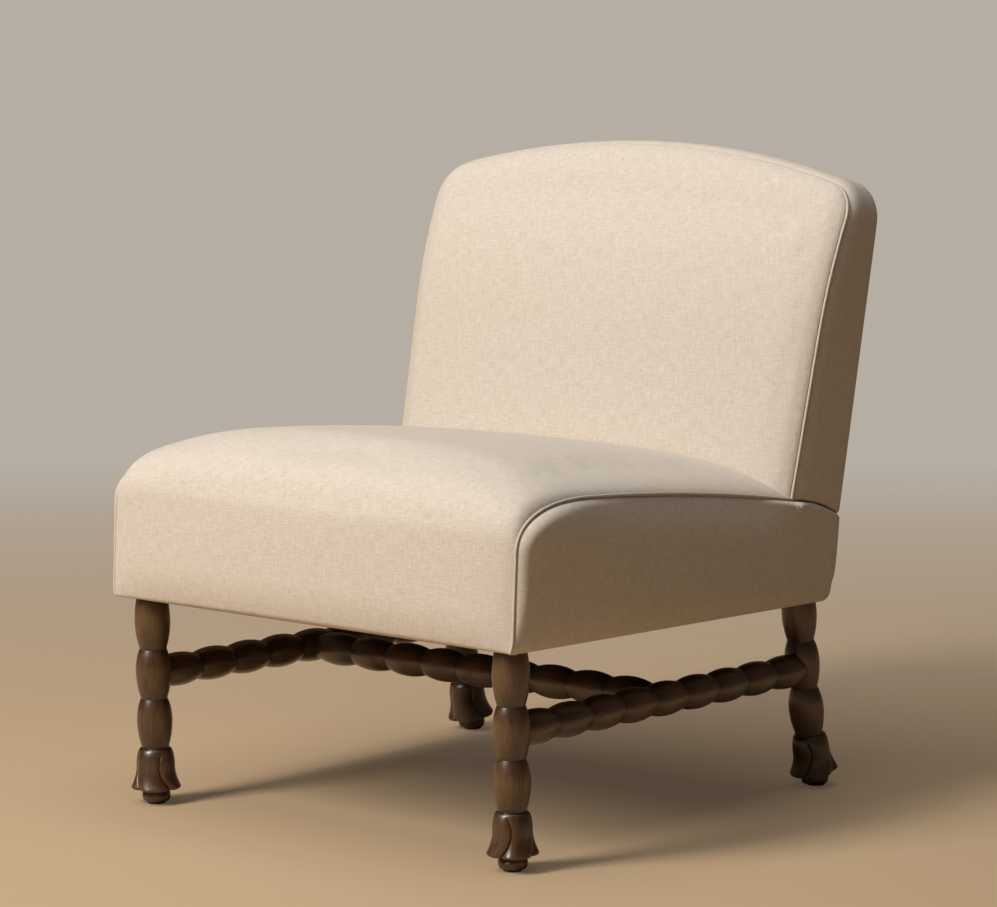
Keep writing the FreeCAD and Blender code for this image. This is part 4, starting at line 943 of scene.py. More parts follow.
def carve_petals(radius, height, turn, base):
    """Carved radius of a foot, and its groove's depth as a share.

    The rim draws in between petals as a power of a cosine that fades up the bell. A groove with a bell-shaped
    section follows the petal line, and a wider one rolls the petals' edges in.
    """
    top = base.foot - PETAL_TOP
    rise = clamp((height - RIM_TIP) / (top - RIM_TIP))
    off = turn - petal_line(height, top)
    off = (off + math.pi / PETALS) % (2 * math.pi / PETALS) - math.pi / PETALS
    between = np.cos(off * PETALS / 2) ** SCALLOP_POWER
    on_rim = np.exp(-rise / SCALLOP_FADE) * clamp((height - PAD_HEIGHT) / SCALLOP_RISE)
    on_bell = clamp((height - RIM_UNDER + PAD_GAP) / RIM_STEP)
    on_bell = on_bell * clamp((1 - rise) / GROOVE_END)
    groove = base.petal_groove * GROOVE_SHARE * (1 + np.exp(-rise / GROOVE_FADE))
    across = np.abs(off) * radius
    cut = groove * np.exp(-((across / GROOVE_WIDTH) ** 2)) * on_bell
    rolled = ROLLED_DEPTH * np.exp(-((across / ROLLED_WIDTH) ** 2)) * on_bell
    return radius - base.petal_scallop * between * on_rim - cut - rolled, cut / base.petal_groove


class LegLine:
    """A leg's bent centre line: foot, two beads and head, each straight with its own lean."""

    def __init__(self, layout, rear):
        base = layout.base
        self.x = layout.half - (base.rear_inset if rear else base.front_inset)
        self.spans = [base.foot, base.pitch, base.pitch, base.head_length]
        tilts = [base.tilt_top + base.tilt_step * n if rear else base.front_tilt for n in (3, 2, 1, 0)]
        rises = np.cumsum([0] + [s * math.cos(t) for s, t in zip(self.spans, tilts)])
        steps = np.cumsum([0] + [-s * math.sin(t) for s, t in zip(self.spans, tilts)])
        top_y = layout.back_origin[1] - base.rear_setback if rear else layout.front_y + base.front_setback
        shift = top_y - steps[3] + (layout.underside(top_y) - rises[3]) * math.tan(tilts[3])
        self.starts = np.cumsum([0] + self.spans)
        self.y, self.z, self.tilts = steps + shift, rises, np.array(tilts)

    def at_length(self, along):
        """Centre and lean at lengths along the line; the lean eases over at each neck."""
        y = np.interp(along, self.starts, self.y)
        z = np.interp(along, self.starts, self.z)
        knots = np.concatenate([[s - NECK_EASE, s + NECK_EASE] for s in self.starts[1:-1]])
        return y, z, np.interp(along, knots, np.repeat(self.tilts, 2)[1:-1])

    def at_height(self, height):
        """Centre of the leg at a height."""
        return np.array([self.x, np.interp(height, self.z, self.y), height])


def leg_patch(layout, line, sign, grain_start):
    """A turned leg: its profile carried along its line, carved at the foot, flat at both ends."""
    base = layout.base
    foot = foot_profile(base.neck, base.foot)
    heights, radii = [foot[:, 1]], [foot[:, 0]]
    for start, span, end in zip(line.starts[1:], line.spans[1:], (base.neck, base.neck, base.head)):
        rows = bead_rows(start, span, LEG_BEAD_ROWS)
        heights.append(rows)
        radii.append(bead_radius(rows, start, span, base.widest, base.neck, base.bead, end))
    along = np.append(np.concatenate(heights), line.starts[-1])[:, None]
    radius = np.append(np.concatenate(radii), 0.0)[:, None]
    turn = np.linspace(0, 2 * math.pi, LEG_AROUND)[None, :]
    carved, line_depth = carve_petals(radius, along, turn, base)
    # On the rim, the crest rises to paint a highlight
    on_rim = np.exp(-((along - RIM_TIP) / RIM_HIGHLIGHT_RUN) ** 2)
    is_foot = (along < base.foot) & (radius > 0)
    # A low crest paints shade: at the necks, in the carved lines and at the shoulder over the foot
    crest = clamp((radius - base.neck / 2) / (base.bead - base.neck) * 2)
    crest = np.where(along < base.foot, FOOT_CREST_GROUND + RIM_HIGHLIGHT * on_rim, crest)
    crest = np.where(is_foot, crest - FOOT_CREST_GROUND * line_depth, crest)
    crest = clamp(crest * (1 - np.exp(-((along - base.foot) / SHOULDER_SHADE_RUN) ** 2)))
    radius = np.where(is_foot, carved, radius)
    y, z, tilt = line.at_length(along)
    side, fore = radius * np.sin(turn), -radius * np.cos(turn)
    points = grid(sign * (line.x + side), y + fore * np.cos(tilt), z + fore * np.sin(tilt))
    points[..., 2] = np.clip(points[..., 2], base.glide, layout.underside(points[..., 1]))
    grain = grid(side + grain_start, fore - grain_start, along + 3 * grain_start)
    uv = grid(turn * base.bead / 2, along, 0)[..., :2]
    return patch(points, uv=uv, grain=grain, crest=crest[..., None])


class LegsOperator(bpy.types.Operator):
    """Four bobbin-turned legs on carved feet, the rear pair raked"""

    bl_idname = "bobbin.legs"
    bl_label = "Turned Legs"

    def execute(self, context):
        layout = Layout(context.scene.bobbin_chair)
        grain_start = 0.0
        for end in ("front", "rear"):
            line = LegLine(layout, end == "rear")
            for side, sign in SIDES:
                grain_start += LEG_GRAIN_STEP
                turned_piece(context, f"{end}_{side}_leg", leg_patch(layout, line, sign, grain_start))
        return {"FINISHED"}


def stretcher_patch(base, start, end, host, grain_start):
    """A row of beads between two round hosts; each end is hollowed to its host's round and closed inside."""
    run = end - start
    span = np.linalg.norm(run)
    ahead = run / span
    side = np.cross(ahead, (0, 0, 1))
    side /= np.linalg.norm(side)
    up = np.cross(side, ahead)
    neck, wide = base.stretcher_neck, base.stretcher_bead
    bead = (span - host) / base.stretcher_beads
    begins = [host / 2 + n * bead for n in range(base.stretcher_beads)]
    rows = [bead_rows(begin, bead, STRETCHER_BEAD_ROWS) for begin in begins]
    radii = [bead_radius(r, begin, bead, bead / 2, neck, wide, neck) for r, begin in zip(rows, begins)]
    tail = host / 2 - HOST_OVERLAP
    along = np.concatenate([[tail, tail], *rows, [span - tail, span - tail]])[:, None]
    radius = np.concatenate([[0.0, neck / 2], *radii, [neck / 2, 0.0]])[:, None]
    turn = np.linspace(0, 2 * math.pi, STRETCHER_AROUND)[None, :]
    u, v = radius * np.cos(turn), radius * np.sin(turn)
    hollow = tail - np.sqrt(tail**2 - np.minimum(np.abs(u), tail * HOLLOW_LIMIT) ** 2)
    near, far = np.isclose(along, tail), np.isclose(along, span - tail)
    shifted = along + np.where(near, -hollow, 0) + np.where(far, hollow, 0)
    points = start + shifted[..., None] * ahead + u[..., None] * side + v[..., None] * up
    # A low crest at the necks paints shade there; the bead crests look rubbed
    crest = clamp((2 * radius - neck) / (wide - neck)) + 0 * u
    uv = grid(turn * neck / 2, along, 0)[..., :2]
    grain = grid(u + grain_start, v - grain_start, along)
    return patch(points, uv=uv, grain=grain, crest=crest[..., None])


class StretchersOperator(bpy.types.Operator):
    """Two side stretchers and the cross stretcher between them"""

    bl_idname = "bobbin.stretchers"
    bl_label = "Stretchers"

    def execute(self, context):
        layout = Layout(context.scene.bobbin_chair)
        base = layout.base
        front, rear = LegLine(layout, False), LegLine(layout, True)
        runs, middles = [], []
        for side, sign in SIDES:
            mirror = np.array([sign, 1, 1])
            start = front.at_height(base.stretcher_front) * mirror
            end = rear.at_height(base.stretcher_rear) * mirror
            runs.append((f"{side}_side_stretcher", start, end, base.bead / 2))
            middles.append((start + end) / 2)
        runs.append(("cross_stretcher", *middles, base.stretcher_bead))
        for node, start, end, host in runs:
            turned_piece(context, node, stretcher_patch(base, start, end, host, STRETCHER_GRAIN[node]))
        return {"FINISHED"}


# Seat

# Rows of the front, the roll, the top and the tuck, how the first and third crowd, and columns
SEAT_ROWS = (20, 20, 36, 4)
FRONT_CROWD = 1.6
TOP_CROWD = 1.35
SEAT_COLUMNS = 73
SEAM_HALF = 0.0025

# Hem: rounding, tuck of the lower corners, clearance, where the front is fullest, and bow of its middle
HEM_RADIUS = 0.0035
CORNER_TUCK = 0.005
CORNER_RISE = 0.018
CORNER_POWER = 9
HEM_CLEAR = 0.0008
HEM_SHARE = 0.36
HEM_POWER = 2.5

# Front's swell: share of its lip, share lost by the roll, and how quickly the roll takes the rest
FRONT_LIP = 0.8
BELLY_LOSS = 0.3
BELLY_POWER = 0.7

# Where the top tucks in before the back: rounding, its least share at the seams, depth, and the search for it
TUCK_RADIUS = 0.007
TUCK_LEAST = 0.15
TUCK_DEPTH = 0.045
TUCK_BEFORE = 0.08
TUCK_BEHIND = 0.05
TUCK_HALVINGS = 30
RAIL_FACE = 0.0093

# Fuller corners of the roll: how far forward and up, how quickly from the side seam, and where along the roll
CORNER_FORWARD = 0.005
CORNER_UP = 0.007
CORNER_NEAR = 0.006
CORNER_FAR = 0.035
CORNER_STATION = 1.5
CORNER_SPAN = 0.45

# How far the seat's settling may move the cover, at stations along it, and how that falls to the side seams
SEAT_REACH_STATIONS = (0, 0.15, 0.6, 1, 2, 2.5, 2.9, 3)
SEAT_REACHES = (0, 0, 0.002, 0.003, 0.008, 0.011, 0, 0)
SEAT_REACH_POWER = 1.5


def corner_tuck(height):
    """How far the lower front corners draw in: a parabola that ends at the tuck's rise."""
    return CORNER_TUCK * clamp(1 - height / CORNER_RISE) ** 2


def seat_end(layout, x, rise):
    """Depth at which the seat's top meets the back's front face, found by halving the range."""
    seat = layout.seat
    joint_y, _ = layout.joint()
    start_y = seat.front_lean + seat.roll_depth
    fall = (seat.rise_rear - seat.rise_front) / (joint_y - start_y)
    low, high = np.full_like(x, joint_y - TUCK_BEFORE), np.full_like(x, joint_y + TUCK_BEHIND)
    for _ in range(TUCK_HALVINGS):
        middle = (low + high) / 2
        top = seat.rise_rear + rise + fall * (middle - joint_y)
        there = layout.seat_to_back(grid(x, middle, top))
        to_edge = layout.back_half(there[..., 2]) - PANEL_INSET - np.abs(x)
        before = there[..., 1] < layout.back_front(x, there[..., 2], to_edge)
        low, high = np.where(before, middle, low), np.where(before, high, middle)
    return low


def seat_stations():
    """Stations along the seat cover, close together at the hem and before the back."""
    front, roll, top, tuck = (evenly(count + 1) for count in SEAT_ROWS)
    ends = 1 - (1 - top[1:]) ** TOP_CROWD
    return np.concatenate([front**FRONT_CROWD, 1 + roll[1:], 2 + ends, 3 + tuck[1:]])


def seat_cover_grid(layout, shares, stations):
    """The seat cover in the seat frame, over shares across the width and stations along it.

    Stations 0 to 1 climb the front, which swells from the hem; 1 to 2 go over the superellipse of the roll;
    2 to 3 follow the arched top to the back and round down there; 3 to 4 tuck down its face. Across the
    width, most of the front's swell climbs as 1 - exp(-distance) from the side seam; the rest is the crown.
    """
    seat = layout.seat
    half = layout.half - SEAM_HALF
    to_side = (1 - np.abs(shares))[None, :] * half
    lip = 1 - np.exp(-to_side / seat.lip_width)
    crown = fullness(shares)[None, :]
    rise = seat.crown * crown
    swell = seat.front_swell * (FRONT_LIP * lip + (1 - FRONT_LIP) * crown)
    x = shares[None, :] * half
    station = stations[:, None]
    front = clamp(station)
    run, turn = layout.roll(station - 1)
    top = clamp(station - 2)
    tuck = clamp(station - 3)
    belly = 1 - (1 - clamp(front / HEM_SHARE)) ** 2
    belly = belly * (1 - BELLY_LOSS * clamp((front - HEM_SHARE) / (1 - HEM_SHARE)) ** 2)
    belly = belly * (1 - run) ** BELLY_POWER
    start_y = seat.front_lean + seat.roll_depth
    top_run = seat_end(layout, x, rise) - start_y
    y = seat.front_lean * front - swell * belly + seat.roll_depth * run + top_run * top
    hem_z = HEM_CLEAR + seat.hem_lift * (1 - np.abs(shares[None, :]) ** HEM_POWER)
    foot_z = hem_z + (seat.roll_start + rise * ROLL_LIFT - hem_z) * front
    roll_z = (seat.rise_front - seat.roll_start + rise * (1 - ROLL_LIFT)) * turn
    top_z = (seat.rise_rear - seat.rise_front) * top + seat.top_arch * 4 * top * (1 - top)
    z = foot_z + roll_z + top_z
    tuck_round = rounded_in(top_run * (1 - top), TUCK_RADIUS * (TUCK_LEAST + (1 - TUCK_LEAST) * crown))
    z = z - np.where(station > 2, tuck_round, 0) - TUCK_DEPTH * tuck
    y = y - math.tan(layout.lean) * TUCK_DEPTH * tuck
    y = y + np.where(station < 1, rounded_in(z - hem_z, HEM_RADIUS), 0)
    x = x - np.where(station < 1, shares[None, :] ** CORNER_POWER * corner_tuck(z), 0)
    puff = (1 - np.exp(-to_side / CORNER_NEAR)) * np.exp(-to_side / CORNER_FAR)
    puff = puff * np.exp(-(((station - CORNER_STATION) / CORNER_SPAN) ** 2))
    return grid(x, y - CORNER_FORWARD * puff, z + CORNER_UP * puff)


def seat_inner_grid(layout, shares, stations, outer):
    """Underside of the seat pad: up the rail's face, then back along the deck."""
    station = stations[:, None]
    climb = clamp(station)
    back = clamp((station - 1) / 3)
    x = shares[None, :] * (layout.half - SEAM_HALF)
    y = RAIL_FACE + back * (outer[-1:, :, 1] - RAIL_FACE)
    return grid(x, y, layout.seat.deck * climb)


class SeatOperator(bpy.types.Operator):
    """Crowned seat with a rolled front, settled as padded cloth"""

    bl_idname = "bobbin.seat"
    bl_label = "Seat Cushion"

    def execute(self, context):
        layout = Layout(context.scene.bobbin_chair)
        shares, stations = toward_edges(SEAT_COLUMNS), seat_stations()
        outer = seat_cover_grid(layout, shares, stations)
        inner = seat_inner_grid(layout, shares, stations, outer)
        reach = np.interp(stations, SEAT_REACH_STATIONS, SEAT_REACHES)
        reach = reach[:, None] * (1 - shares[None, :] ** 2) ** SEAT_REACH_POWER
        swell = layout.seat_to_chair(outward(outer) * reach[..., None]) - np.asarray(layout.seat_origin)
        faces = layout.seat_to_chair(outer), layout.seat_to_chair(inner)
        nodes = ["seat_foam", "front_rail_pad", "seat_cover"]
        upholster(context, "seat_cushion", faces, nodes, swell=swell)
        return {"FINISHED"}


# Columns of a side over the roll, the top and the rear, how they crowd, and its rows
SIDE_COLUMNS = (25, 61, 35)
SIDE_CROWD = 1.6
EDGE_CROWD = 1.5
SIDE_ROWS = 41

# Side pad: inner and outer faces at the seam, gap to the seam, runs of its swell, and tuck at the rear edge
SIDE_INNER = 0.3095
SIDE_EDGE = 0.3158
SIDE_GROOVE = 0.0015
SIDE_SWELL = 0.060
SIDE_REAR = 0.022
SIDE_REAR_TUCK = 0.004

# Run of a side's swell above its hem, at depths from the front, and its steepness
HEM_DEPTHS = (0.0, 0.20, 0.55)
HEM_SWELLS = (0.075, 0.050, 0.026)
HEM_STEEP = 1.5

# Part of a side's swell that its tight edge takes, at depths from the front
TIGHT_DEPTHS = (0.0, 0.10, 0.22, 0.46, 0.54)
TIGHT_SHARES = (0.65, 0.45, 0.10, 0.10, 0.85)
TIGHT_RADII = (0.012, 0.012, 0.006, 0.006, 0.005)

# Fuller front corner of a side, beside the roll
PUFF_SHARE = 0.45
PUFF_AT = (0.05, 0.155)
PUFF_REACH = (0.07, 0.03)

# Flatter rear end of a side
REAR_DEPTHS = (0.46, 0.58)
REAR_SHARES = (1.0, 0.75)

# Small folds where the side seam meets the back
PUCKER_HEIGHT = 0.0046
PUCKER_SPACING = 0.0068
PUCKER_SLANT = 0.35
PUCKER_REACH = (0.011, 0.009)
PUCKER_BEHIND = 0.004
PUCKER_BELOW = 0.007

# Close points along a seam and along a straight edge, from which distances are measured
SEAM_POINTS = 900
EDGE_POINTS = 120


def puckers(layout, y, z):
    """Height of the small folds at the joint: a cosine across the folds under a bell in both directions."""
    joint_y, joint_z = layout.joint()
    behind, below = y - joint_y - PUCKER_BEHIND, z - joint_z + PUCKER_BELOW
    bell = np.exp(-((behind / PUCKER_REACH[0]) ** 2) - (below / PUCKER_REACH[1]) ** 2)
    fold = np.cos(2 * math.pi * (behind + PUCKER_SLANT * below) / PUCKER_SPACING)
    return PUCKER_HEIGHT * bell * (1 + fold) / 2


def side_panel_grids(layout, columns, rows):
    """A seat side, outer and inner faces, on lines that run from the hem up to the side seam.

    Its swell is the product of quarter circles of the distances to the seam, the hem and the rear edge; at
    the seam a tight one and a gentle sine share it, and the rear edge rounds in under the outside back.
    """
    seat, back = layout.seat, layout.back
    column = columns[None, :]
    rise = rows[:, None]
    seam_y, seam_z = layout.side_edge(column, SIDE_GROOVE)
    joint_y, _ = layout.joint()
    fall = clamp(column - 2)
    front_y = seat.front_lean + SIDE_GROOVE
    share = (np.minimum(seam_y, joint_y) - front_y) / (joint_y - front_y)
    hem_y = SIDE_GROOVE + share * (joint_y - SIDE_GROOVE) + fall * (seat.depth - joint_y)
    hem_z = HEM_CLEAR + rounded_in(seat.depth - hem_y, seat.rear_corner)
    hem_y = hem_y + math.tan(layout.lean) * hem_z
    y = hem_y + (seam_y - hem_y) * rise
    z = hem_z + (seam_z - hem_z) * rise
    y = y + rounded_in(z - hem_z, HEM_RADIUS) * np.exp(-y / HEM_RADIUS)
    flat = np.stack([y, z], axis=-1)

    seam = np.stack(layout.side_edge(np.linspace(0, 3, SEAM_POINTS), SIDE_GROOVE), axis=-1)
    front = np.linspace((SIDE_GROOVE, 0), (front_y, seat.roll_start), EDGE_POINTS)
    to_seam = distance_to(flat, np.concatenate([front, seam]))
    to_hem = distance_to(flat, flat[0])
    to_rear = distance_to(flat, np.linspace(flat[0, -1], flat[-1, -1], EDGE_POINTS))
    tight = np.interp(y, TIGHT_DEPTHS, TIGHT_SHARES)
    close = np.interp(y, TIGHT_DEPTHS, TIGHT_RADII)
    gentle = np.sin(math.pi / 2 * clamp(to_seam / SIDE_SWELL))
    swell = tight * swell_from_edge(to_seam, close) + (1 - tight) * gentle
    swell = swell * swell_from_edge(to_hem, np.interp(y, HEM_DEPTHS, HEM_SWELLS)) ** HEM_STEEP
    puff = np.exp(-(((flat - PUFF_AT) / PUFF_REACH) ** 2).sum(-1))
    swell = swell * (1 + PUFF_SHARE * puff) * swell_from_edge(to_rear, SIDE_REAR)
    swell = swell * np.interp(y, REAR_DEPTHS, REAR_SHARES)
    x = SIDE_EDGE + seat.side_bulge * swell - corner_tuck(z) * np.exp(-y / CORNER_RISE)
    x = x - rounded_in(to_rear, back.rear_round) + puckers(layout, y, z)
    return grid(x, y, z), grid(SIDE_INNER - SIDE_REAR_TUCK * (to_rear < back.rear_round), y, z)


class SidesOperator(bpy.types.Operator):
    """Two padded side panels of the seat, drawn in at their seams"""

    bl_idname = "bobbin.sides"
    bl_label = "Seat Sides"

    def execute(self, context):
        layout = Layout(context.scene.bobbin_chair)
        roll, top, rear = SIDE_COLUMNS
        columns = np.concatenate([
            evenly(roll),
            1 + (1 - (1 - evenly(top)[1:]) ** SIDE_CROWD),
            2 + rows_toward_edges(rear, EDGE_CROWD)[1:],
        ])
        grids = side_panel_grids(layout, columns, rows_toward_edges(SIDE_ROWS, EDGE_CROWD))
        for side, sign in SIDES:
            faces = [layout.seat_to_chair(points * np.array([sign, 1, 1])) for points in grids]
            nodes = [f"{side}_side_pad", f"{side}_side_panel"]
            upholster(context, f"{side}_seat_side", faces, nodes)
        return {"FINISHED"}


# Back

# Front panel: gap to the outline, lower edge and its lift beside the seat's sides, rows, and faces
PANEL_INSET = 0.0022
PANEL_LOW = 0.080
PANEL_LIFT = 0.034
PANEL_ROWS = 63
PANEL_STEP = 0.0005
PANEL_INNER = -0.0445
PANEL_LEAST = 0.004

# Share at which a panel's lower edge starts to lift, and its run; columns of a shoulder and of half the crest
LIFT_START = 0.955
LIFT_RUN = 0.02
SHOULDER_COLUMNS = 15
CREST_COLUMNS = 33

# How far the back's settling may move the cover, over what run from its seam, and from which rows
BACK_REACH = 0.007
BACK_REACH_RUN = 0.16
BACK_REACH_START = 0.10
BACK_REACH_ROWS = 0.35


def back_panel_points(layout, columns, rows, inset, low_z, lift):
    """Front view of a back panel, on lines from its lower edge up to the shoulders and the crest.

    Columns run from -2, where the left shoulder starts, over the crest's middle at 0, to 2; the lower edge
    lifts near the sides by lift, to clear the seat's sides.
    """
    x_top, z_top, _, _ = layout.back_edge(np.clip(3 - np.abs(columns), 1, 3), inset, low_z)
    x_side, _, _, _ = layout.back_edge(np.array([0.0]), inset, low_z)
    x_low = x_top * x_side[0] / x_top.max()
    near_side = clamp((x_low / x_side[0] - LIFT_START) / LIFT_RUN)
    z_low = low_z + lift * near_side
    x_low = x_low + (x_top - x_low) * (z_low - low_z) / (z_top - low_z)
    share = rows[:, None]
    x = np.sign(columns) * (x_low + (x_top - x_low) * share)
    return x, z_low + (z_top - z_low) * share


def panel_columns():
    """Column stations of a back panel: close together round the shoulders, even along the crest."""
    shoulder, crest = np.linspace(2, 1, SHOULDER_COLUMNS), np.linspace(1, 0, CREST_COLUMNS)
    right = np.append(shoulder, crest[1:])
    return np.concatenate([-right, right[::-1][1:]])


def back_panel_grids(layout):
    """Front panel of the back in the back frame: its outer and inner faces, and the reach of its settling.

    The outer face is the back's front face; its border steps in and back to the seam. The reach climbs from
    the seam as 3t^2 - 2t^3 of the distance, and as a parabola up from the seat.
    """
    back = layout.back
    columns = np.pad(panel_columns(), 1, mode="edge")
    rows = np.append(rows_toward_edges(PANEL_ROWS, EDGE_CROWD), 1.0)
    x, z = back_panel_points(layout, columns, rows, PANEL_INSET, PANEL_LOW, PANEL_LIFT)
    edge_x, edge_z, _, _ = layout.back_edge(np.linspace(0, 3, SEAM_POINTS), PANEL_INSET, PANEL_LOW)
    seam = np.concatenate([np.stack([sign * edge_x, edge_z], axis=-1) for _, sign in SIDES])
    to_edge = distance_to(np.stack([x, z], axis=-1), seam)
    y = layout.back_front(x, z, to_edge)
    _, _, nx, nz = layout.back_edge(np.clip(3 - np.abs(columns), 1, 3), PANEL_INSET, PANEL_LOW)
    rim = np.zeros(x.shape)
    rim[-1], rim[:, 0], rim[:, -1] = 1, 1, 1
    x = x - np.sign(columns) * rim * back.rim_in * nx
    z = z - rim * back.rim_in * nz
    y = y + rim * (back.rim_back + PANEL_STEP)
    climb = clamp(to_edge / BACK_REACH_RUN)
    reach = BACK_REACH * climb**2 * (3 - 2 * climb)
    reach = reach * clamp((rows[:, None] - BACK_REACH_START) / BACK_REACH_ROWS) ** 2
    reach[0], reach[-1], reach[:, 0], reach[:, -1] = 0, 0, 0, 0
    return grid(x, y, z), grid(x, np.maximum(PANEL_INNER, y + PANEL_LEAST), z), reach


class BackOperator(bpy.types.Operator):
    """Crowned front of the back, settled as padded cloth"""

    bl_idname = "bobbin.back"
    bl_label = "Back Cushion"

    def execute(self, context):
        layout = Layout(context.scene.bobbin_chair)
        outer, inner, reach = back_panel_grids(layout)
        swell = layout.back_to_chair(grid(0, -reach, 0)) - np.asarray(layout.back_origin)
        faces = layout.back_to_chair(outer), layout.back_to_chair(inner)
        upholster(context, "back_cushion", faces, ["back_foam", "back_cover"], swell=swell)
        return {"FINISHED"}


# Welts of the back and the seat, and how they lie on their seams
WELT_RADIUS = 0.0019
WELT_INSET = 0.0046
WELT_SIDE_INSET = 0.0009
WELT_INSET_STATIONS = (0, 0.9, 2.2)
WELT_FORWARD = 0.0007
WELT_POINTS = (120, 40, 120)
SEAT_WELT_RADIUS = 0.0017
SEAT_WELT_OUT = (0.0004, 0.0012)
SEAT_WELT_LIFT = 0.0009
SEAT_WELT_PROUD = 0.6
SEAT_WELT_FLUSH = 0.01
SEAT_WELT_START = 0.016
SEAT_WELT_POINTS = (60, 80, 150, 14)
WELT_RUN_ON = 0.16
WELT_END = 0.3

# Boxing: stations up the side, round the shoulder and along the crest, columns across, layers and laps
BOXING_STATIONS = (41, 17, 41)
BOXING_CLIMB = 1.1
BOXING_COLUMNS = 25
BOXING_CROWD = 1.7
BOXING_LAYER = 0.003
BOXING_DRAW = 0.020
BOXING_FRONT = 0.0015
BOXING_INNER = -0.005
REAR_LAP = 0.0016
LAP_UNDER = 0.006

# Lower ends of the boxing: length of the side line, and the rounding over which they draw in
SIDE_LINE = 0.36
END_START = 0.003
END_ROUND = 0.006
REAR_SEAM_POINTS = 200


def boxing_grid(layout, stations, depths, inset):
    """The band round the back's sides and top, over stations along its edge and shares of its depth.

    Its swell climbs from the front seam as a quarter circle, its rear edge rounds in, and its lower ends
    follow the rear seam of the seat's sides.
    """
    back = layout.back
    share = depths[None, :]
    station = stations[:, None]
    seam_y, seam_z = layout.side_seam(2 + evenly(REAR_SEAM_POINTS))
    seam = layout.seat_to_back(grid(0, seam_y, seam_z))
    start_y = layout.back_seam(np.array(layout.half), np.array(seam[0, 2]))
    low_z = np.interp(start_y * (1 - share), seam[:, 1], seam[:, 2])
    x, z, nx, nz = layout.back_edge(station, inset, low_z)
    front = layout.back_seam(x, z) + BOXING_FRONT
    y = front * (1 - share) - REAR_LAP * share
    off = (back.boxing_bulge + WELT_INSET) * swell_from_edge(y - front, BOXING_DRAW) - WELT_INSET
    off = off * swell_from_edge(clamp(station) * SIDE_LINE + END_START, END_ROUND)
    off = off - rounded_in(-y - REAR_LAP, back.rear_round)
    return grid(x + off * nx, y, z + off * nz)


def both_halves(right):
    """A grid of the right half, stations first, joined with its mirror image at the crest's middle."""
    left = right[:-1] * np.array([-1, 1, 1])
    return np.concatenate([right, left[::-1]])


class BoxingOperator(bpy.types.Operator):
    """Padded band round the sides and top of the back"""

    bl_idname = "bobbin.boxing"
    bl_label = "Back Boxing"

    def execute(self, context):
        layout = Layout(context.scene.bobbin_chair)
        side, shoulder, crest = (evenly(count) for count in BOXING_STATIONS)
        stations = np.concatenate([side**BOXING_CLIMB, 1 + shoulder[1:], 2 + crest[1:]])
        depths = rows_toward_edges(BOXING_COLUMNS, BOXING_CROWD)
        outer = boxing_grid(layout, stations, depths, 0.0)
        _, _, nx, nz = layout.back_edge(stations[:, None], 0.0, layout.back.low)
        lap = outer[:, -1:] - LAP_UNDER * grid(nx, 0, nz)
        outer = both_halves(np.concatenate([outer, lap], axis=1))
        inner = boxing_grid(layout, stations, np.append(depths, 1.0), BOXING_LAYER + LAP_UNDER)
        inner[..., 1] = np.minimum(inner[..., 1], BOXING_INNER)
        faces = layout.back_to_chair(outer), layout.back_to_chair(both_halves(inner))
        upholster(context, "back_band", faces, ["back_boxing"])
        return {"FINISHED"}


# Outside back: gap to the outline, lower edge and its lift at the corners, rows, lap, and its two swells
OUTSIDE_INSET = 0.0055
OUTSIDE_LOW = 0.0012
OUTSIDE_LIFT = 0.005
OUTSIDE_ROWS = 49
OUTSIDE_CROWD = 1.6
OUTSIDE_LAP = 0.0002
OUTSIDE_SWELLS = ((0.0018, 0.004), (0.0022, 0.12))
RIM_POINTS = 12


def outside_back_grids(layout):
    """Rear panel in the back frame: an outer face that swells from its edge, and a flat inner one.

    The swell is the sum of a tight and a wide quarter circle of the distance to the edge.
    """
    rows = rows_toward_edges(OUTSIDE_ROWS, OUTSIDE_CROWD)
    x, z = back_panel_points(layout, panel_columns(), rows, OUTSIDE_INSET, OUTSIDE_LOW, OUTSIDE_LIFT)
    flat = np.stack([x, z], axis=-1)
    walk = evenly(RIM_POINTS)[:, None, None]
    edges = (flat[:, 0], flat[:, -1], flat[0], flat[-1])
    rim = np.concatenate([(e[:-1] * (1 - walk) + e[1:] * walk).reshape(-1, 2) for e in edges])
    to_edge = distance_to(flat, rim)
    swell = sum(height * swell_from_edge(to_edge, run) for height, run in OUTSIDE_SWELLS)
    return grid(x, swell - REAR_LAP, z), grid(x, -REAR_LAP - OUTSIDE_LAP, z)


class OutsideBackOperator(bpy.types.Operator):
    """Outside panel on the rear of the back, its edge turned under"""

    bl_idname = "bobbin.outside_back"
    bl_label = "Outside Back"

    def execute(self, context):
        layout = Layout(context.scene.bobbin_chair)
        faces = [layout.back_to_chair(points) for points in outside_back_grids(layout)]
        upholster(context, "outside_back_panel", faces, ["outside_back"])
        return {"FINISHED"}


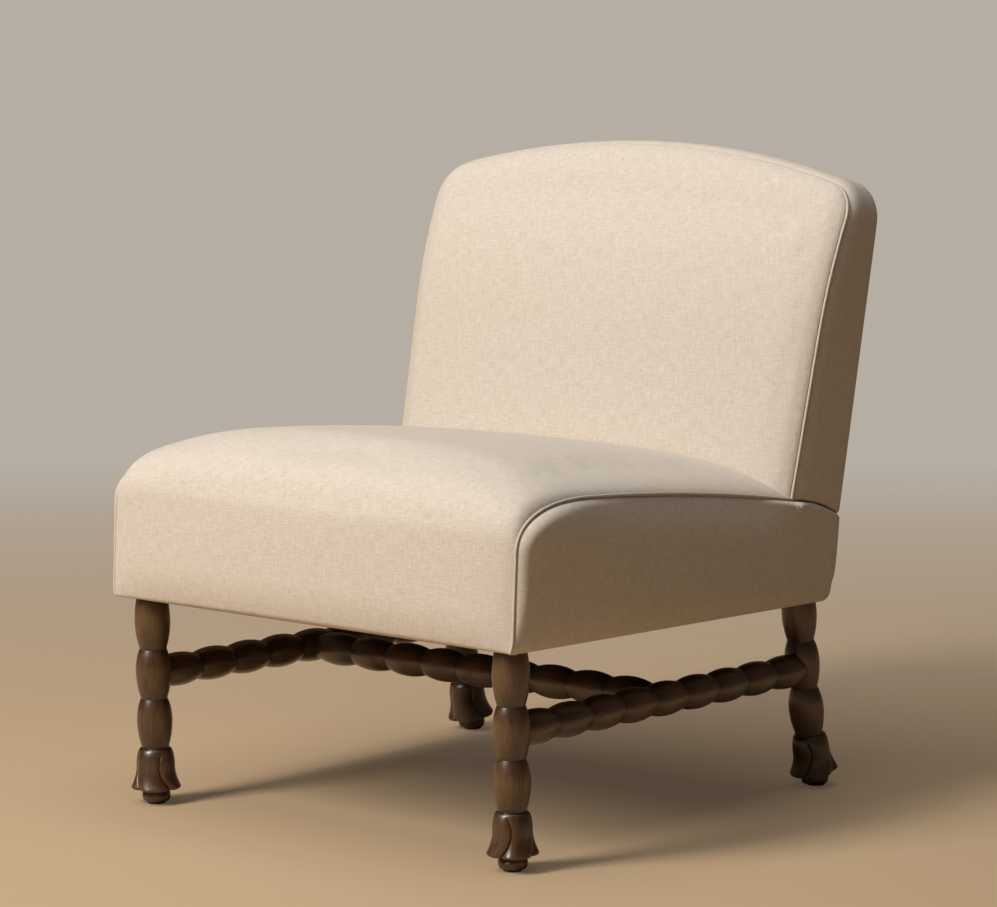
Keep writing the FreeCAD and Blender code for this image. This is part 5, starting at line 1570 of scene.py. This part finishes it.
def seat_welt_line(layout):
    """Right side welt in the seat frame, points and radii: up the front, over the roll and to the back.

    It lies flush up the front, stands proud from the roll on, and thins out behind the joint with the back.
    """
    seat = layout.seat
    front, roll, top, behind = (evenly(count) for count in SEAT_WELT_POINTS)
    climb = SEAT_WELT_START + (1 - SEAT_WELT_START) * front[:-1]
    stations = np.concatenate([roll, 1 + top[1:], 2 + WELT_RUN_ON * behind[1:]])
    proud = np.clip(stations / SEAT_WELT_PROUD, SEAT_WELT_FLUSH, 1)
    seam_y, seam_z = layout.side_edge(stations, -SEAT_WELT_LIFT * proud)
    y = np.concatenate([seat.front_lean * climb, seam_y])
    z = np.concatenate([seat.roll_start * climb, seam_z])
    out = np.interp(np.concatenate([0 * climb, proud]), (0, 1), SEAT_WELT_OUT)
    x = layout.half - SEAM_HALF + out - corner_tuck(z)
    thin = np.interp(stations, (0, 2, 2 + WELT_RUN_ON), (1, 1, WELT_END))
    radius = SEAT_WELT_RADIUS * np.concatenate([np.ones_like(climb), thin])
    return grid(x, y + rounded_in(z, HEM_RADIUS), z), radius


def back_welt_line(layout):
    """Welt of the back in the back frame, along its front seam from the seat to the crest, on both sides."""
    side, shoulder, crest = (evenly(count) for count in WELT_POINTS)
    stations = np.concatenate([side, 1 + shoulder[1:], 2 + crest[1:]])
    joint = layout.seat_to_back((0, *layout.joint()))
    inset = np.interp(stations, WELT_INSET_STATIONS, (WELT_SIDE_INSET, WELT_SIDE_INSET, WELT_INSET))
    x, z, _, _ = layout.back_edge(stations, inset, joint[2])
    return both_halves(grid(x, layout.back_seam(x, z) - WELT_FORWARD, z))


class WeltsOperator(bpy.types.Operator):
    """Self welts on the seat's side seams and round the front of the back"""

    bl_idname = "bobbin.welts"
    bl_label = "Welts"

    def execute(self, context):
        layout = Layout(context.scene.bobbin_chair)
        line, radius = seat_welt_line(layout)
        welts = [
            (f"{side}_seat", layout.seat_to_chair(line * np.array([sign, 1, 1])), radius)
            for side, sign in SIDES
        ]
        welts.append(("back", layout.back_to_chair(back_welt_line(layout)), WELT_RADIUS))
        for name, path, size in welts:
            welt = make_piece(f"{name}_piping", [tube(path, size)])
            place(welt, [f"{name}_welt"], finish_named(context, "cover_cloth"))
        return {"FINISHED"}


# Underside and hidden pieces

# Dust cloth: rim to the seat's edge, notches at the legs, sag, ripples, gap to the frame and thickness
DUST_RIM = 0.017
DUST_ROWS = 97
DUST_COLUMNS = 81
NOTCH_HALF = 0.024
NOTCH_POWER = 6
NOTCH_DEPTH = 0.041
DUST_SAG = 0.005
DUST_RIPPLE = 0.0006
RIPPLE_TURNS = ((62, 9), (7, 31))
RIPPLE_POWER = 6
DUST_GAP = 0.0009
DUST_THICKNESS = 0.0006


def dust_cloth_grid(layout):
    """Dust cloth in the seat frame, with its half widths and its rows.

    It sags as a product of two parabolas, with faint crossed sine ripples, and is cut in at the legs.
    """
    seat, base = layout.seat, layout.base
    legs = (base.front_setback, seat.depth - base.rear_setback)
    rows = np.linspace(DUST_RIM, seat.depth - DUST_RIM, DUST_ROWS)
    notch = sum(np.exp(-(((rows - leg) / NOTCH_HALF) ** NOTCH_POWER)) for leg in legs)
    half = layout.half - DUST_RIM - NOTCH_DEPTH * np.minimum(notch, 1)
    share = np.linspace(-1, 1, DUST_COLUMNS)[None, :]
    x = share * half[:, None]
    along = (rows[:, None] - DUST_RIM) / (seat.depth - 2 * DUST_RIM)
    sag = DUST_SAG * (1 - share**2) * 4 * along * (1 - along)
    wave, cross = (np.sin(across * x + down * along) for across, down in RIPPLE_TURNS)
    ripple = DUST_RIPPLE * wave * cross * (1 - share**RIPPLE_POWER)
    return grid(x, rows[:, None], -DUST_GAP - sag - np.abs(ripple)), half, rows


class DustClothOperator(bpy.types.Operator):
    """Dust cloth stretched under the seat, cut round the legs"""

    bl_idname = "bobbin.dust_cloth"
    bl_label = "Dust Cloth"

    def execute(self, context):
        layout = Layout(context.scene.bobbin_chair)
        points, half, rows = dust_cloth_grid(layout)
        cloth = make_piece("dust_cover", [patch(layout.seat_to_chair(points))])
        wall = cloth.modifiers.new("cloth", "SOLIDIFY")
        wall.thickness = DUST_THICKNESS
        wall.offset = 0
        place(cloth, ["dust_cloth"], finish_named(context, "spun_cloth"))
        return {"FINISHED"}


# Which CAD nodes keep their own shape and only take a finish
HIDDEN_FINISHES = {
    "frame_timber": (
        "front_left_corner_post", "front_right_corner_post", "left_side_rail", "right_side_rail",
        "front_rail", "rear_rail", "left_back_post", "right_back_post", "back_rail", "crest_rail",
        "frame_dowels",
    ),
    "bright_steel": ("seat_springs", "spring_clips", "leg_bolts", "leg_inserts"),
    "jute_cloth": ("deck_cloth", "back_webbing"),
    "moulded_glide": ("foot_glides",),
}


class HiddenOperator(bpy.types.Operator):
    """Finishes of the timber, springs, webbing and glides that the frame carries"""

    bl_idname = "bobbin.hidden"
    bl_label = "Frame Finishes"

    def execute(self, context):
        for name, nodes in HIDDEN_FINISHES.items():
            material = finish_named(context, name)
            for node in nodes:
                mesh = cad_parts[node].data
                mesh.materials.clear()
                mesh.materials.append(material)
        return {"FINISHED"}


# Stage

# Camera, and the width of its sensor in millimetres
CAMERA_AT = (3.2842, -3.9691, 1.1187)
CAMERA_TILT = math.radians(82.356)
CAMERA_TURN = math.radians(39.563)
SENSOR_WIDTH = 36

# Backdrop: half width, near end, bend, height, rows over its floor, bend and wall, and columns
SWEEP_HALF_WIDTH = 12.0
SWEEP_NEAR = -12.0
SWEEP_START = 7.0
SWEEP_RADIUS = 2.5
SWEEP_TOP = 7.0
SWEEP_ROWS = (24, 40, 12)
SWEEP_COLUMNS = 24

# Lights: where they aim, the soft one overhead, and the tints of both and of the room
KEY_AIM = (0.0, 0.0, 0.42)
KEY_TINT = (1.0, 0.965, 0.91)
TOP_AT = (0.0, -0.3, 3.6)
TOP_SIZE = 2.6
TOP_TINT = (0.96, 0.98, 1.0)
ROOM_TINT = (1.0, 0.90, 0.76)

# How the camera sees the backdrop fade: depths at which that starts and ends, and its least share, a painted
# glow that lifts the floor's shadows near the chair
FADE_START = 0.2
FADE_END = 3.0
FADE_LEAST = 0.15


def sweep_grid():
    """A seamless backdrop square to the camera: flat floor, quarter round and upright wall."""
    floor_rows, bend_rows, wall_rows = SWEEP_ROWS
    turn = np.linspace(0, math.pi / 2, bend_rows)
    floor = np.linspace((SWEEP_NEAR, 0.0), (SWEEP_START, 0.0), floor_rows)[:-1]
    bend = np.stack([SWEEP_START + SWEEP_RADIUS * np.sin(turn), SWEEP_RADIUS * (1 - np.cos(turn))], axis=-1)
    wall = np.linspace(bend[-1], (bend[-1][0], SWEEP_TOP), wall_rows)[1:]
    profile = np.concatenate([floor, bend, wall])
    across = np.linspace(-SWEEP_HALF_WIDTH, SWEEP_HALF_WIDTH, SWEEP_COLUMNS)[None, :]
    away, up = profile[:, :1], profile[:, 1:]
    c, s = math.cos(CAMERA_TURN), math.sin(CAMERA_TURN)
    return grid(across * c - away * s, across * s + away * c, up)


def aim(obj, at, target):
    """Stand an object at a place with its -Z axis towards a target."""
    away = np.array(at) - np.array(target)
    flat = math.hypot(away[0], away[1])
    obj.location = at
    obj.rotation_euler = (math.atan2(flat, away[2]), 0, math.atan2(away[0], -away[1]))


def stage_paper(stage):
    """Matt paper; the camera sees it glow a little near the chair, a painted light that lifts the floor's
    shadows, and far behind the chair fade to an even, pale colour.
    """
    b = Bench("stage_paper")
    material = b.finish(Base_Color=rgba(stage.floor), Roughness=0.9, Specular_IOR_Level=0.15)
    away = (-math.sin(CAMERA_TURN), math.cos(CAMERA_TURN), 0.0)
    along = b.add("ShaderNodeVectorMath", {0: b.object_coords(), 1: away}, operation="DOT_PRODUCT")
    depth = along.outputs["Value"]
    seen = b.add("ShaderNodeLightPath").outputs["Is Camera Ray"]
    # Glow that only the camera sees: painted light over the floor's shadows, fading to the even backdrop far
    # away
    fade = b.times(b.spread(depth, FADE_START, FADE_END, FADE_LEAST), seen)
    tone = b.mix(b.spread(depth, FADE_START, FADE_END), rgba(stage.shadow_glow), rgba(stage.distance))
    glow = b.add("ShaderNodeEmission", {"Color": tone, "Strength": 1.0}).outputs[0]
    mix = b.add("ShaderNodeMixShader", {0: fade, 1: b.shader.outputs[0], 2: glow}).outputs[0]
    b.links.new(mix, b.nodes["Material Output"].inputs["Surface"])
    return material


def add_lamp(scene, name, power, size, tint, at):
    """A rectangular soft light that aims at the seat."""
    lamp = bpy.data.lights.new(name, "AREA")
    lamp.shape = "RECTANGLE"
    lamp.energy = power
    lamp.color = tint
    lamp.size, lamp.size_y = size
    light = bpy.data.objects.new(name, lamp)
    aim(light, at, KEY_AIM)
    scene.collection.objects.link(light)


class StageOperator(bpy.types.Operator):
    """Plain pale sweep, soft key light, weak fill and the camera"""

    bl_idname = "bobbin.stage"
    bl_label = "Stage"

    def execute(self, context):
        scene = context.scene
        stage = scene.bobbin_chair.stage
        sweep = make_piece("stage_sweep", [patch(sweep_grid())])
        sweep.data.flip_normals()
        sweep.data.materials.append(stage_paper(stage))

        flat = stage.key_away * math.cos(stage.key_rise)
        key_at = (
            KEY_AIM[0] - flat * math.sin(stage.key_turn),
            KEY_AIM[1] - flat * math.cos(stage.key_turn),
            KEY_AIM[2] + stage.key_away * math.sin(stage.key_rise),
        )
        add_lamp(scene, "key", stage.key, (stage.key_width, stage.key_height), KEY_TINT, key_at)
        add_lamp(scene, "top", stage.top, (TOP_SIZE, TOP_SIZE), TOP_TINT, TOP_AT)

        world = bpy.data.worlds.new("room")
        world.use_nodes = True
        background = world.node_tree.nodes["Background"]
        background.inputs["Color"].default_value = rgba(ROOM_TINT)
        background.inputs["Strength"].default_value = stage.fill
        scene.world = world

        lens = bpy.data.cameras.new("camera")
        lens.lens = stage.lens
        lens.sensor_width = SENSOR_WIDTH
        camera = bpy.data.objects.new("camera", lens)
        camera.location = CAMERA_AT
        camera.rotation_euler = (CAMERA_TILT, 0, CAMERA_TURN)
        scene.collection.objects.link(camera)
        scene.camera = camera
        scene.view_settings.view_transform = "Standard"
        return {"FINISHED"}


OPERATORS = (
    StageOperator, LegsOperator, StretchersOperator, SeatOperator, SidesOperator, BackOperator,
    BoxingOperator, OutsideBackOperator, WeltsOperator, DustClothOperator, HiddenOperator,
)


class ChairPanel(bpy.types.Panel):
    """Lists the chair's pieces and sizes in the 3D view's sidebar"""

    bl_idname = "VIEW3D_PT_bobbin_chair"
    bl_label = "Bobbin Accent Chair"
    bl_space_type = "VIEW_3D"
    bl_region_type = "UI"
    bl_category = "Chair"

    def draw(self, context):
        for operator in OPERATORS:
            self.layout.operator(operator.bl_idname)
        chair = context.scene.bobbin_chair
        for group in (chair.seat, chair.back, chair.base, chair.finish, chair.stage):
            box = self.layout.box()
            for name in group.bl_rna.properties.keys():
                if name not in ("rna_type", "name"):
                    box.prop(group, name)


CLASSES = (
    SeatSizes, BackSizes, TurningSizes, Finishes, StageSettings, ChairSettings, *OPERATORS, ChairPanel,
)


def register():
    for cls in CLASSES:
        bpy.utils.register_class(cls)
    bpy.types.Scene.bobbin_chair = PointerProperty(type=ChairSettings)


def unregister():
    del bpy.types.Scene.bobbin_chair
    for cls in reversed(CLASSES):
        bpy.utils.unregister_class(cls)


def main():
    register()
    for operator in OPERATORS:
        group, name = operator.bl_idname.split(".")
        getattr(getattr(bpy.ops, group), name)()


if __name__ == "__main__":
    main()
